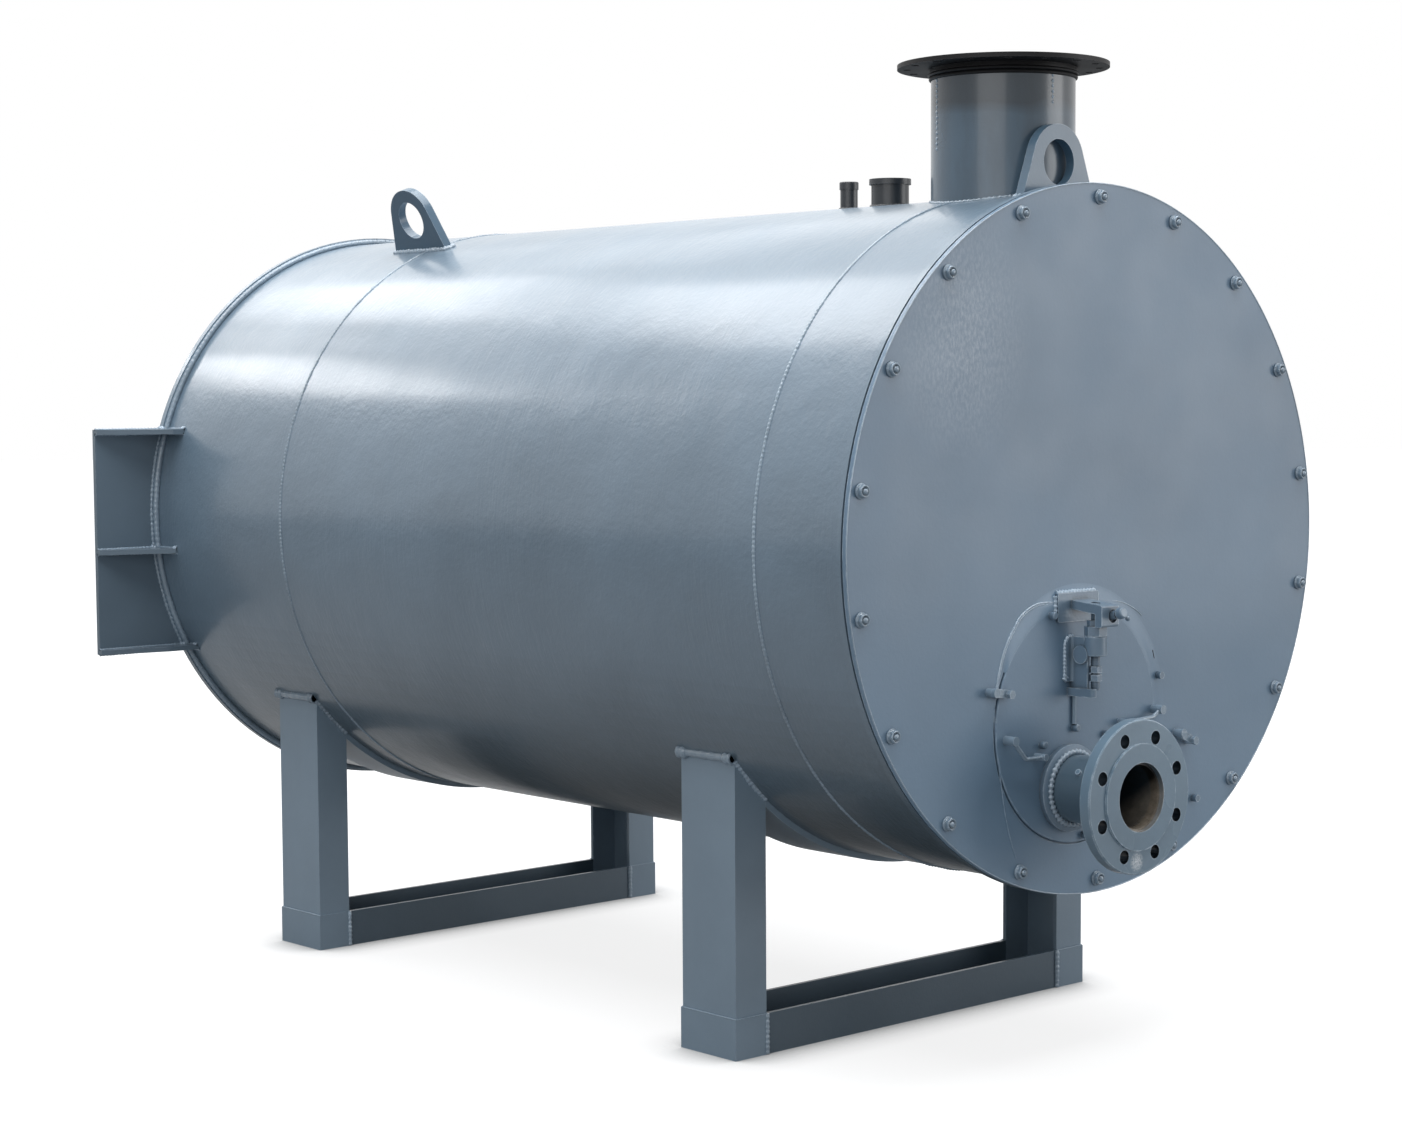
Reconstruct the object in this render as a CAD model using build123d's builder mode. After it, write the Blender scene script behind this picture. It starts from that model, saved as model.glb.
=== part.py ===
from build123d import *
from math import asin, atan2, cos, degrees, hypot, radians, sin, sqrt
import os

# Horizontal industrial boiler on two welded channel frames, in millimetres.
# +Z is up. The bolted front cover faces -Y. The origin is on the floor, at the
# middle of the front frame's sole, under the axis of the shell.

# Shell
shell_radius = 457.0
shell_wall = 8.0
axis_height = 695.0
overall_depth = 1627.0
front_overhang = 378.0
rear_overhang = 259.0
front_seam_depth = 174.0
rear_course_length = 376.0
seam_bead_width = 7.0
seam_bead_height = 2.0

# Ends: cover, gasket, inner flange ring and rear plate
end_lip = 10.5
cover_thickness = 6.0
gasket_thickness = 3.0
gasket_setback = 4.0
ring_thickness = 10.0
ring_width = 48.0
rear_plate_thickness = 10.0

# Cover bolts
bolt_count = 18
bolt_edge_distance = 18.5
stud_radius = 5.0
stud_stickout = 4.0
nut_across_flats = 17.0
nut_height = 8.0
washer_radius = 10.5
washer_thickness = 2.5

# Folded channel frames
channel_depth = 107.0
channel_flange = 56.0
channel_thickness = 6.0
frame_inset = 103.5
strap_thickness = 8.0
shoe_thickness = 2.0
shoe_height = 56.0

# Side bracket at the rear left
bracket_width = 111.0
bracket_rise = 141.5
bracket_drop = 224.0
bracket_thickness = 8.0
middle_gusset_drop = 57.0
gusset_depth = 56.0
bottom_gusset_depth = 28.0
gusset_thickness = 8.0
gusset_nose = 6.0

# Lifting lugs
lug_thickness = 14.0
lug_base = 136.0
lug_hole_radius = 30.0
lug_head_radius = 50.0
lug_root = 30.0
front_lug_depth = 56.0
front_lug_offset = -16.0
front_lug_hole_height = 40.0
rear_lug_from_seam = 24.0
rear_lug_hole_height = 52.0
rear_lug_lean = 20.4

# Smoke stack
stack_radius = 97.0
stack_wall = 5.0
stack_depth = 169.0
stack_height = 178.0
stack_flange_radius = 142.5
stack_flange_thickness = 6.0
stack_flange_pcd = 258.0
stack_hole_count = 16
stack_hole_radius = 5.5
collar_height = 16.0
collar_radius = 101.0
collar_groove_rise = 5.0
collar_groove_width = 2.0
collar_groove_depth = 2.0
collar_bevel = 0.8

# Small fittings on the crown
large_nozzle_radius = 26.5
large_nozzle_wall = 3.5
large_nozzle_depth = 381.0
large_nozzle_height = 38.0
large_lip_height = 8.0
large_lip_overhang = 3.0
small_nozzle_radius = 12.5
small_nozzle_wall = 2.5
small_nozzle_depth = 463.0
small_nozzle_height = 28.0
cap_height = 11.0
cap_overhang = 1.2

# Inlet pipe through the cover
inlet_x = -60.0
inlet_margin = 136.0
inlet_pipe_radius = 44.45
inlet_pipe_wall = 3.2
inlet_reach = 125.0
inlet_flange_radius = 100.0
inlet_flange_thickness = 20.0
inlet_face_radius = 69.0
inlet_face_height = 3.0
inlet_pcd = 160.0
inlet_hole_count = 8
inlet_hole_radius = 9.0
inlet_pipe_setback = 7.0
inlet_flange_bevel = 1.5
inlet_collar_radius = 57.5
inlet_collar_height = 12.0
inlet_collar_round = 5.0
inlet_collar_bulge = 1.3
inlet_nub_reach = 50.0
inlet_nub_angle = 142.0
inlet_nub_radius = 4.0
inlet_nub_height = 3.0

# Round inspection door, let into the cover
door_x = -42.0
door_radius = 159.0
door_margin = 62.0
door_gap = 2.5
door_recess = 3.0
door_proud = 2.0

# Hinge over the door; heights are counted from the top of the door's rim
hinge_shift = -3.5
block_width = 81.0
block_height = 38.0
block_thickness = 6.0
block_rise = 12.0
strap_shift = 2.4
strap_width = 34.0
strap_reach = 57.5
strap_bar = 11.5
strap_rise = 2.5
strap_slope = 5.0
strap_leg = 28.5
rod_radius = 6.5
rod_standoff = 35.0
rod_drop = 114.5
rod_recess = 3.0
rod_point = 2.0
upper_nut_width = 20.0
upper_nut_height = 8.0
lower_nut_width = 26.0
end_nut_width = 15.0
end_nut_height = 8.5
end_nut_drop = 13.5
end_nut_gap = 2.5
sleeve_radius = 15.0
sleeve_height = 26.0
sleeve_drop = 43.5
web_offset = 12.7
web_thickness = 4.5
web_reach = 32.0
web_top_drop = 45.0
web_fillet = 4.0
base_width = 26.0
base_height = 59.0
base_thickness = 4.0
base_corner = 14.0
boss_radius = 12.0
boss_reach = 22.0
boss_drop = 68.0
boss_proud = 3.0
foot_width = 10.5
foot_reach = 46.0
foot_height = 10.5
foot_drop = 122.5
screw_shift = 8.0
screw_drop = 17.0
screw_rise = 6.0
recess_radius = 8.8
recess_depth = 4.0
screw_collar_radius = 6.0
screw_collar = 11.0
screw_neck_radius = 4.5
screw_neck = 3.0
screw_head_radius = 7.5
screw_head = 9.0
tommy_radius = 2.0
tommy_length = 15.0
tommy_turn = -32.0
tommy_ball = 3.3

# Small fittings on the door and the cover; places are counted from the door's centre
door_rod_radius = 2.8
door_rod_shift = -6.5
door_rod_top_drop = 124.0
door_rod_length = 36.5
dog_length = 40.0
dog_width = 11.0
dog_thickness = 10.0
dog_bolt_radius = 6.0
dog_bolt_height = 6.0
handle_radius = 2.8
handle_bend = 8.0
handle_standoff = 12.0
knob_radius = 6.0
stud_boss_radius = 5.0
stud_boss_height = 9.0
left_dog_place = (-157.0, 50.0)
right_dog_place = (220.0, -39.0)
left_dog_turn = -8.0
right_dog_turn = -25.0
left_handle_bends = ((-140.0, -12.0), (-115.0, -38.0), (-82.0, -38.0))
right_handle_bends = ((157.0, 4.0), (142.0, -5.0), (85.0, -7.0))
door_stud_places = ((-54.0, 143.0), (-72.0, -24.0), (55.0, -21.0), (12.0, -151.0), (-8.0, -7.0))
cover_stud_places = ((167.0, 49.0), (247.0, -127.0))

# Values worked out from the sizes above
front_face_y = -front_overhang
cover_radius = shell_radius + end_lip
gasket_back = cover_thickness + gasket_thickness
ring_back = gasket_back + ring_thickness
rear_plate_front = overall_depth - rear_plate_thickness
rear_seam_depth = overall_depth - rear_course_length
rear_lug_depth = rear_seam_depth + rear_lug_from_seam
ring_inner_radius = shell_radius - ring_width
frame_half_width = shell_radius - frame_inset
frame_spacing = overall_depth - front_overhang - rear_overhang
door_z = axis_height - shell_radius + door_margin + door_radius
door_top = door_z + door_radius
inlet_z = axis_height - shell_radius + inlet_margin
hinge_x = door_x + hinge_shift
crown_z = axis_height + shell_radius
bolt_circle_radius = cover_radius - bolt_edge_distance


def section(depth, x=0.0, z=axis_height):
    """Upright plane seen from the front, at a depth behind the cover's face."""
    return Plane(origin=(x, front_face_y + depth, z), x_dir=(1, 0, 0), z_dir=(0, -1, 0))


def save(piece, name):
    """Label a finished piece and write it to its own file."""
    piece.part.label = name
    export_step(piece.part, f"parts/{name}.step")


os.makedirs("parts", exist_ok=True)


# Shell courses: open tubes that meet at the two round seams
def shell_course(start, end):
    with BuildPart() as course:
        with BuildSketch(section(start)):
            Circle(shell_radius)
            Circle(shell_radius - shell_wall, mode=Mode.SUBTRACT)
        extrude(amount=-(end - start))
        with BuildSketch(Plane.XY.offset(axis_height)):
            with Locations((0, front_face_y + stack_depth)):
                Circle(stack_radius - stack_wall)
            with Locations((0, front_face_y + large_nozzle_depth)):
                Circle(large_nozzle_radius - large_nozzle_wall)
            with Locations((0, front_face_y + small_nozzle_depth)):
                Circle(small_nozzle_radius - small_nozzle_wall)
        extrude(amount=2 * shell_radius, mode=Mode.SUBTRACT)
    return course


save(shell_course(ring_back, front_seam_depth), "shell_front_course")
save(shell_course(front_seam_depth, rear_seam_depth), "shell_middle_course")
save(shell_course(rear_seam_depth, rear_plate_front), "shell_rear_course")


# Weld beads over the round seams
def seam_weld(depth):
    half = seam_bead_width / 2
    with BuildPart() as bead:
        with BuildSketch(Plane.YZ):
            with BuildLine():
                foot = (front_face_y + depth - half, axis_height + shell_radius)
                toe = (front_face_y + depth + half, axis_height + shell_radius)
                crest = (front_face_y + depth, axis_height + shell_radius + seam_bead_height)
                ThreePointArc(foot, crest, toe)
                Line(toe, foot)
            make_face()
        revolve(axis=Axis((0, 0, axis_height), (0, 1, 0)))
        with BuildSketch(Plane.XY.offset(axis_height)):
            with Locations((0, front_face_y + stack_depth)):
                Circle(stack_radius)
        extrude(amount=2 * shell_radius, mode=Mode.SUBTRACT)
        with BuildSketch(lug_plane(rear_lug_depth, rear_lug_lean, lug_thickness / 2)):
            with Locations((0, shell_radius)):
                Rectangle(lug_base, 4 * seam_bead_height)
        extrude(amount=-lug_thickness, mode=Mode.SUBTRACT)
    return bead


def lug_plane(depth, lean, side):
    """Plane along the shell through its axis, leaned to the left and moved sideways."""
    tilt = radians(lean)
    normal = (-cos(tilt), 0, -sin(tilt))
    return Plane(origin=(-side * cos(tilt), front_face_y + depth, axis_height - side * sin(tilt)),
                 x_dir=(0, -1, 0), z_dir=normal)


save(seam_weld(front_seam_depth), "front_seam_weld")
save(seam_weld(rear_seam_depth), "rear_seam_weld")

# Front end: inner flange ring, gasket and bolted cover
with BuildPart() as front_flange_ring:
    with BuildSketch(section(gasket_back)):
        Circle(cover_radius)
        Circle(ring_inner_radius, mode=Mode.SUBTRACT)
    extrude(amount=-ring_thickness)
save(front_flange_ring, "front_flange_ring")

with BuildPart() as cover_gasket:
    with BuildSketch(section(cover_thickness)):
        Circle(cover_radius - gasket_setback)
        Circle(ring_inner_radius, mode=Mode.SUBTRACT)
    extrude(amount=-gasket_thickness)
save(cover_gasket, "cover_gasket")

with BuildPart() as front_cover:
    with BuildSketch(section(0)):
        Circle(cover_radius)
    extrude(amount=-cover_thickness)
    with BuildSketch(section(0, door_x, door_z)):
        Circle(door_radius + door_gap)
    extrude(amount=-door_recess, mode=Mode.SUBTRACT)
    with BuildSketch(section(0, inlet_x, inlet_z)):
        Circle(inlet_pipe_radius)
    extrude(amount=-cover_thickness, mode=Mode.SUBTRACT)
save(front_cover, "front_cover")

# Washer, nut and stud end of each cover bolt
with BuildPart() as cover_nuts:
    with BuildSketch(section(0)):
        with PolarLocations(bolt_circle_radius, bolt_count, start_angle=90):
            Circle(washer_radius)
    extrude(amount=washer_thickness)
    with BuildSketch(section(-washer_thickness)):
        with PolarLocations(bolt_circle_radius, bolt_count, start_angle=90):
            RegularPolygon(nut_across_flats / 2, 6, major_radius=False)
    extrude(amount=nut_height)
    with BuildSketch(section(-washer_thickness - nut_height)):
        with PolarLocations(bolt_circle_radius, bolt_count, start_angle=90):
            Circle(stud_radius)
    extrude(amount=stud_stickout)
save(cover_nuts, "cover_nuts")

# Rear end plate, lapped over the end of the shell
with BuildPart() as rear_end_plate:
    with BuildSketch(section(rear_plate_front)):
        Circle(cover_radius)
    extrude(amount=-rear_plate_thickness)
save(rear_end_plate, "rear_end_plate")


# Legs: channels with their webs outward, coped to the round of the shell
def leg(side, frame_y):
    inner = frame_half_width - channel_flange
    middle = side * (frame_half_width + inner) / 2
    hollow = side * (frame_half_width - channel_thickness + inner) / 2
    with BuildPart() as post:
        with BuildSketch():
            with Locations((middle, frame_y)):
                Rectangle(channel_flange, channel_depth)
            with Locations((hollow, frame_y)):
                Rectangle(channel_flange - channel_thickness,
                          channel_depth - 2 * channel_thickness, mode=Mode.SUBTRACT)
        extrude(amount=axis_height)
        with BuildSketch(Plane.XZ.offset(-frame_y - channel_depth)):
            with Locations((0, axis_height)):
                Circle(shell_radius)
        extrude(amount=2 * channel_depth, mode=Mode.SUBTRACT)
    return post


# Crossbars: channels lying on their webs between the flange toes of the legs
def crossbar(frame_y):
    span = 2 * (frame_half_width - channel_flange)
    with BuildPart() as bar:
        with BuildSketch(Plane.YZ.offset(-span / 2)):
            with Locations((frame_y, channel_flange / 2)):
                Rectangle(channel_depth, channel_flange)
            with Locations((frame_y, (channel_flange + channel_thickness) / 2)):
                Rectangle(channel_depth - 2 * channel_thickness,
                          channel_flange - channel_thickness, mode=Mode.SUBTRACT)
        extrude(amount=span)
    return bar


# Saddle straps: curved plates under the shell, from leg to leg
def saddle_strap(frame_y):
    reach = frame_half_width - channel_flange
    drop = sqrt(shell_radius**2 - reach**2)
    with BuildPart() as strap:
        with BuildSketch(Plane.XZ.offset(-frame_y - channel_depth / 2)):
            with Locations((0, axis_height)):
                Circle(shell_radius + strap_thickness)
                Circle(shell_radius, mode=Mode.SUBTRACT)
            with Locations((0, axis_height - drop - shell_radius)):
                Rectangle(2 * reach, 2 * shell_radius, mode=Mode.INTERSECT)
        extrude(amount=channel_depth)
    return strap


for frame_name, frame_y in (("front", 0.0), ("rear", frame_spacing)):
    save(leg(-1, frame_y), f"{frame_name}_left_leg")
    save(leg(1, frame_y), f"{frame_name}_right_leg")
    save(crossbar(frame_y), f"{frame_name}_crossbar")
    save(saddle_strap(frame_y), f"{frame_name}_saddle_strap")

# Thin shoes welded round the three outer sides of each foot
with BuildPart() as foot_plates:
    for side in (-1, 1):
        for frame_y in (0.0, frame_spacing):
            toe = frame_half_width - channel_flange
            with BuildSketch():
                with Locations((side * (toe + (channel_flange + shoe_thickness) / 2), frame_y)):
                    Rectangle(channel_flange + shoe_thickness, channel_depth + 2 * shoe_thickness)
                with Locations((side * (toe + channel_flange / 2), frame_y)):
                    Rectangle(channel_flange, channel_depth, mode=Mode.SUBTRACT)
            extrude(amount=shoe_height)
save(foot_plates, "foot_plates")

# Side bracket: an upright plate welded to the rim of the rear plate, with three gussets
bracket_front = overall_depth - bracket_thickness
bracket_reach = shell_radius + bracket_width
with BuildPart() as side_bracket_plate:
    with BuildSketch(section(bracket_front)):
        with Locations((-bracket_reach / 2, (bracket_rise - bracket_drop) / 2)):
            Rectangle(bracket_reach, bracket_rise + bracket_drop)
        Circle(cover_radius, mode=Mode.SUBTRACT)
    extrude(amount=-bracket_thickness)
save(side_bracket_plate, "side_bracket_plate")


def gusset(low, depth):
    """Flat web at a height from the axis, tapering from its depth at the shell to the plate's edge."""
    with BuildPart() as web:
        with BuildSketch(Plane.XY.offset(axis_height + low)):
            with BuildLine():
                back = front_face_y + bracket_front
                Polyline((-bracket_reach, back), (0, back), (0, back - depth), (-shell_radius, back - depth),
                         (-bracket_reach, back - gusset_nose), (-bracket_reach, back))
            make_face()
        extrude(amount=gusset_thickness)
        with BuildSketch(section(0)):
            Circle(shell_radius)
        extrude(amount=-overall_depth, mode=Mode.SUBTRACT)
        with BuildSketch(section(rear_plate_front)):
            Circle(cover_radius)
        extrude(amount=-rear_plate_thickness, mode=Mode.SUBTRACT)
    return web


save(gusset(bracket_rise - gusset_thickness, gusset_depth), "bracket_top_gusset")
save(gusset(-middle_gusset_drop - gusset_thickness / 2, gusset_depth), "bracket_middle_gusset")
save(gusset(-bracket_drop, bottom_gusset_depth), "bracket_bottom_gusset")


# Lifting lugs: tapered plates with a round head and a large eye
def lug_outline(hole_height):
    centre = shell_radius + hole_height
    foot = lug_base / 2
    rise = degrees(atan2(hole_height, foot))
    turn = degrees(asin(lug_head_radius / hypot(foot, hole_height)))
    side = Vector(1, 0).rotate(Axis.Z, rise + turn)
    length = sqrt(foot**2 + hole_height**2 - lug_head_radius**2)
    shoulder = Vector(-foot, shell_radius) + side * length
    root = Vector(-foot, shell_radius) - side * lug_root
    with BuildSketch() as outline:
        with Locations((0, centre)):
            Circle(lug_head_radius)
        with BuildLine():
            Polyline(root, shoulder, (-shoulder.X, shoulder.Y), (-root.X, root.Y), root)
        make_face()
        with Locations((0, centre)):
            Circle(lug_hole_radius, mode=Mode.SUBTRACT)
    return outline.sketch


def lifting_lug(plane, hole_height):
    with BuildPart() as lug:
        with BuildSketch(plane):
            add(lug_outline(hole_height))
        extrude(amount=-lug_thickness)
        with BuildSketch(section(0)):
            Circle(shell_radius)
        extrude(amount=-overall_depth, mode=Mode.SUBTRACT)
    return lug


save(lifting_lug(section(front_lug_depth, front_lug_offset), front_lug_hole_height), "front_lifting_lug")
save(lifting_lug(lug_plane(rear_lug_depth, rear_lug_lean, lug_thickness / 2), rear_lug_hole_height),
     "rear_lifting_lug")


# Upright pipes on the crown, their lower ends cut to the round of the shell
def crown_pipe(depth, radius, wall, top):
    with BuildPart() as pipe:
        with BuildSketch(Plane.XY.offset(axis_height)):
            with Locations((0, front_face_y + depth)):
                Circle(radius)
                Circle(radius - wall, mode=Mode.SUBTRACT)
        extrude(amount=top - axis_height)
        with BuildSketch(section(0)):
            Circle(shell_radius)
        extrude(amount=-overall_depth, mode=Mode.SUBTRACT)
    return pipe


stack_top = crown_z + stack_height
collar_top = stack_top - stack_flange_thickness
save(crown_pipe(stack_depth, stack_radius, stack_wall, stack_top), "stack_pipe")

# Grooved collar under the stack flange
with BuildPart() as stack_collar:
    with BuildSketch(Plane.XZ):
        with BuildLine():
            low = collar_top - collar_height
            groove_low = low + collar_groove_rise
            groove_high = groove_low + collar_groove_width
            groove_radius = collar_radius - collar_groove_depth
            Polyline((stack_radius, low), (collar_radius - collar_bevel, low),
                     (collar_radius, low + collar_bevel), (collar_radius, groove_low),
                     (groove_radius, groove_low + collar_bevel), (groove_radius, groove_high),
                     (collar_radius, groove_high + collar_bevel), (collar_radius, collar_top),
                     (stack_radius, collar_top), (stack_radius, low))
        make_face()
    revolve(axis=Axis.Z)
stack_collar.part.position = (0, front_face_y + stack_depth, 0)
save(stack_collar, "stack_collar")

with BuildPart() as stack_flange:
    with BuildSketch(Plane.XY.offset(collar_top)):
        with Locations((0, front_face_y + stack_depth)):
            Circle(stack_flange_radius)
            Circle(stack_radius, mode=Mode.SUBTRACT)
            with PolarLocations(stack_flange_pcd / 2, stack_hole_count):
                Circle(stack_hole_radius, mode=Mode.SUBTRACT)
    extrude(amount=stack_flange_thickness)
save(stack_flange, "stack_flange")

# Open nozzle with a lipped rim
nozzle_top = crown_z + large_nozzle_height
with BuildPart() as large_nozzle:
    add(crown_pipe(large_nozzle_depth, large_nozzle_radius, large_nozzle_wall, nozzle_top).part)
    with BuildSketch(Plane.XY.offset(nozzle_top - large_lip_height)):
        with Locations((0, front_face_y + large_nozzle_depth)):
            Circle(large_nozzle_radius + large_lip_overhang)
            Circle(large_nozzle_radius - large_nozzle_wall, mode=Mode.SUBTRACT)
    extrude(amount=large_lip_height)
save(large_nozzle, "large_nozzle")

# Small nozzle closed by a screwed cap
cap_low = crown_z + small_nozzle_height
save(crown_pipe(small_nozzle_depth, small_nozzle_radius, small_nozzle_wall, cap_low), "small_nozzle")

with BuildPart() as small_nozzle_cap:
    with BuildSketch(Plane.XY.offset(cap_low)):
        with Locations((0, front_face_y + small_nozzle_depth)):
            Circle(small_nozzle_radius + cap_overhang)
    extrude(amount=cap_height)
    fillet(small_nozzle_cap.edges().group_by(Axis.Z)[-1], cap_height / 6)
save(small_nozzle_cap, "small_nozzle_cap")

# Round inspection door let into the cover, with the inlet pipe through it
with BuildPart() as inspection_door:
    with BuildSketch(section(door_recess, door_x, door_z)):
        Circle(door_radius)
    extrude(amount=door_recess + door_proud)
    chamfer(inspection_door.edges().sort_by(Axis.Y)[0], door_proud / 2)
    with BuildSketch(section(door_recess, inlet_x, inlet_z)):
        Circle(inlet_pipe_radius)
    extrude(amount=door_recess + door_proud, mode=Mode.SUBTRACT)
save(inspection_door, "inspection_door")

# Inlet pipe with a small plugged boss on its side
nub_tilt = radians(inlet_nub_angle)
with BuildPart() as inlet_pipe:
    with BuildSketch(section(cover_thickness, inlet_x, inlet_z)):
        Circle(inlet_pipe_radius)
    extrude(amount=cover_thickness + inlet_reach - inlet_pipe_setback)
    with BuildSketch(Plane(origin=(inlet_x, front_face_y - inlet_nub_reach, inlet_z),
                           z_dir=(cos(nub_tilt), 0, sin(nub_tilt)))):
        Circle(inlet_nub_radius)
    extrude(amount=inlet_pipe_radius + inlet_nub_height)
    with BuildSketch(section(cover_thickness, inlet_x, inlet_z)):
        Circle(inlet_pipe_radius - inlet_pipe_wall)
    extrude(amount=cover_thickness + inlet_reach, mode=Mode.SUBTRACT)
save(inlet_pipe, "inlet_pipe")

# Welding collar around the root of the inlet pipe
with BuildPart() as inlet_collar:
    with BuildSketch(Plane.XY.offset(inlet_z)):
        with BuildLine():
            root_x = inlet_x + inlet_pipe_radius
            toe_x = inlet_x + inlet_collar_radius
            base_y = front_face_y - door_proud
            shoulder_y = base_y - inlet_collar_height + inlet_collar_round
            crown_y = base_y - inlet_collar_height
            Line((root_x, base_y), (toe_x, base_y))
            Line((toe_x, base_y), (toe_x, shoulder_y))
            SagittaArc((toe_x, shoulder_y), (root_x, crown_y), inlet_collar_bulge)
            Line((root_x, crown_y), (root_x, base_y))
        make_face()
    revolve(axis=Axis((inlet_x, 0, inlet_z), (0, 1, 0)))
save(inlet_collar, "inlet_collar")

# Slip-on pipe flange with a raised face
with BuildPart() as inlet_flange:
    with BuildSketch(section(-(inlet_reach - inlet_flange_thickness), inlet_x, inlet_z)):
        Circle(inlet_flange_radius)
    extrude(amount=inlet_flange_thickness - inlet_face_height)
    chamfer(inlet_flange.edges(), inlet_flange_bevel)
    with BuildSketch(section(-(inlet_reach - inlet_face_height), inlet_x, inlet_z)):
        Circle(inlet_face_radius)
    extrude(amount=inlet_face_height)
    with BuildSketch(section(-(inlet_reach - inlet_flange_thickness), inlet_x, inlet_z)):
        Circle(inlet_pipe_radius)
        with PolarLocations(inlet_pcd / 2, inlet_hole_count, start_angle=180 / inlet_hole_count):
            Circle(inlet_hole_radius)
    extrude(amount=inlet_flange_thickness, mode=Mode.SUBTRACT)
save(inlet_flange, "inlet_flange")

# Hinge block welded over the top of the door's rim
with BuildPart() as hinge_block:
    with BuildSketch(section(0, hinge_x, door_top + block_rise - block_height / 2)):
        RectangleRounded(block_width, block_height, block_thickness / 2)
    extrude(amount=block_thickness)
    with BuildSketch(section(0, door_x, door_z)):
        Circle(door_radius)
    extrude(amount=door_proud, mode=Mode.SUBTRACT)
save(hinge_block, "hinge_block")

# Hinge strap: a bar that reaches out from the block and turns down in front of the rod
strap_x = hinge_x + strap_shift
strap_back = front_face_y - block_thickness
strap_front = front_face_y - strap_reach
strap_inside = strap_front + strap_bar
strap_top = door_top + strap_rise
strap_front_top = strap_top - strap_slope
screw_x = hinge_x + screw_shift
screw_z = door_top - screw_drop
with BuildPart() as hinge_strap:
    with BuildSketch(Plane.YZ.offset(strap_x - strap_width / 2)):
        with BuildLine():
            Polyline((strap_back, strap_top), (strap_front, strap_front_top),
                     (strap_front, strap_front_top - strap_leg), (strap_inside, strap_front_top - strap_leg),
                     (strap_inside, strap_front_top - strap_bar), (strap_back, strap_top - strap_bar),
                     (strap_back, strap_top))
        make_face()
    extrude(amount=strap_width)
    fillet(hinge_strap.edges().filter_by(Axis.X).sort_by(Axis.Y)[:2], strap_bar / 4)
    with BuildSketch(Plane.XY.offset(strap_front_top - strap_leg)):
        with Locations((hinge_x, front_face_y - rod_standoff)):
            Circle(rod_radius)
    extrude(amount=2 * strap_leg, mode=Mode.SUBTRACT)
    with BuildSketch(section(-strap_reach, screw_x, screw_z)):
        Circle(recess_radius)
    extrude(amount=-recess_depth, mode=Mode.SUBTRACT)
save(hinge_strap, "hinge_strap")


def upright(low, height, sketch_radius):
    """Round bar on the hinge's upright centre line."""
    with BuildPart() as bar:
        with BuildSketch(Plane.XY.offset(low)):
            with Locations((hinge_x, front_face_y - rod_standoff)):
                Circle(sketch_radius)
        extrude(amount=height)
    return bar.part


def hinge_nut(low, height, width):
    """Hexagon nut on the hinge's upright centre line."""
    with BuildPart() as nut:
        with BuildSketch(Plane.XY.offset(low)):
            with Locations((hinge_x, front_face_y - rod_standoff)):
                RegularPolygon(width / 2, 6, major_radius=False)
        extrude(amount=height)
    return nut.part


# Threaded rod, its nuts, and the sleeve it runs through
rod_low = door_top - rod_drop
rod_height = strap_front_top - rod_recess - rod_low
sleeve_top = door_top - sleeve_drop
sleeve_low = sleeve_top - sleeve_height
leg_low = strap_front_top - strap_leg
end_nut_low = sleeve_low - end_nut_drop - end_nut_height
with BuildPart() as hinge_rod:
    add(upright(rod_low, rod_height, rod_radius))
    chamfer(hinge_rod.edges().group_by(Axis.Z)[0], rod_point)
save(hinge_rod, "hinge_rod")

with BuildPart() as hinge_nuts:
    add(hinge_nut(leg_low, upper_nut_height, upper_nut_width))
    add(hinge_nut(sleeve_top, leg_low - sleeve_top, lower_nut_width))
    add(hinge_nut(end_nut_low, end_nut_height, end_nut_width))
    add(hinge_nut(end_nut_low - end_nut_gap - end_nut_height, end_nut_height, end_nut_width))
    add(upright(rod_low, rod_height, rod_radius), mode=Mode.SUBTRACT)
save(hinge_nuts, "hinge_nuts")

with BuildPart() as hinge_sleeve:
    add(upright(sleeve_low, sleeve_height, sleeve_radius))
    chamfer(hinge_sleeve.edges().filter_by(GeomType.CIRCLE), sleeve_radius / 12)
    add(upright(sleeve_low, sleeve_height, rod_radius), mode=Mode.SUBTRACT)
save(hinge_sleeve, "hinge_sleeve")

# Hinge bracket: a round-cornered plate on the door, an upright web with a boss, and a round-nosed foot
web_left = hinge_x - web_offset
web_x = web_left + web_thickness / 2
web_top = door_top - web_top_drop
foot_low = door_top - foot_drop
door_face_y = front_face_y - door_proud
base_face_y = door_face_y - base_thickness
with BuildPart() as hinge_bracket:
    with BuildSketch(section(-door_proud, web_x, web_top - base_height / 2)):
        Rectangle(base_width, base_height)
    extrude(amount=base_thickness)
    fillet(hinge_bracket.edges().filter_by(Axis.Y).group_by(Axis.Z)[-1], min(base_corner, base_width / 2.1))
    with BuildSketch(Plane.YZ.offset(web_left)):
        with Locations(((door_face_y + front_face_y - web_reach) / 2, (web_top + foot_low) / 2)):
            Rectangle(web_reach - door_proud, web_top - foot_low)
    extrude(amount=web_thickness)
    fillet(hinge_bracket.edges().filter_by(Axis.Z).filter_by_position(Axis.Y, base_face_y, base_face_y)
           .filter_by_position(Axis.X, web_left, web_left), web_fillet)
    with BuildSketch(Plane.YZ.offset(web_left - boss_proud)):
        with Locations((front_face_y - boss_reach, door_top - boss_drop)):
            Circle(boss_radius)
    extrude(amount=boss_proud)
    with BuildSketch(Plane.XY.offset(foot_low)):
        with Locations((web_left, door_face_y - (foot_reach - door_proud - foot_width / 2) / 2)):
            Rectangle(foot_width, foot_reach - door_proud - foot_width / 2)
        with Locations((web_left, front_face_y - foot_reach + foot_width / 2)):
            Circle(foot_width / 2)
    extrude(amount=foot_height)
    add(upright(sleeve_low, sleeve_height, sleeve_radius), mode=Mode.SUBTRACT)
save(hinge_bracket, "hinge_bracket")

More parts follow.
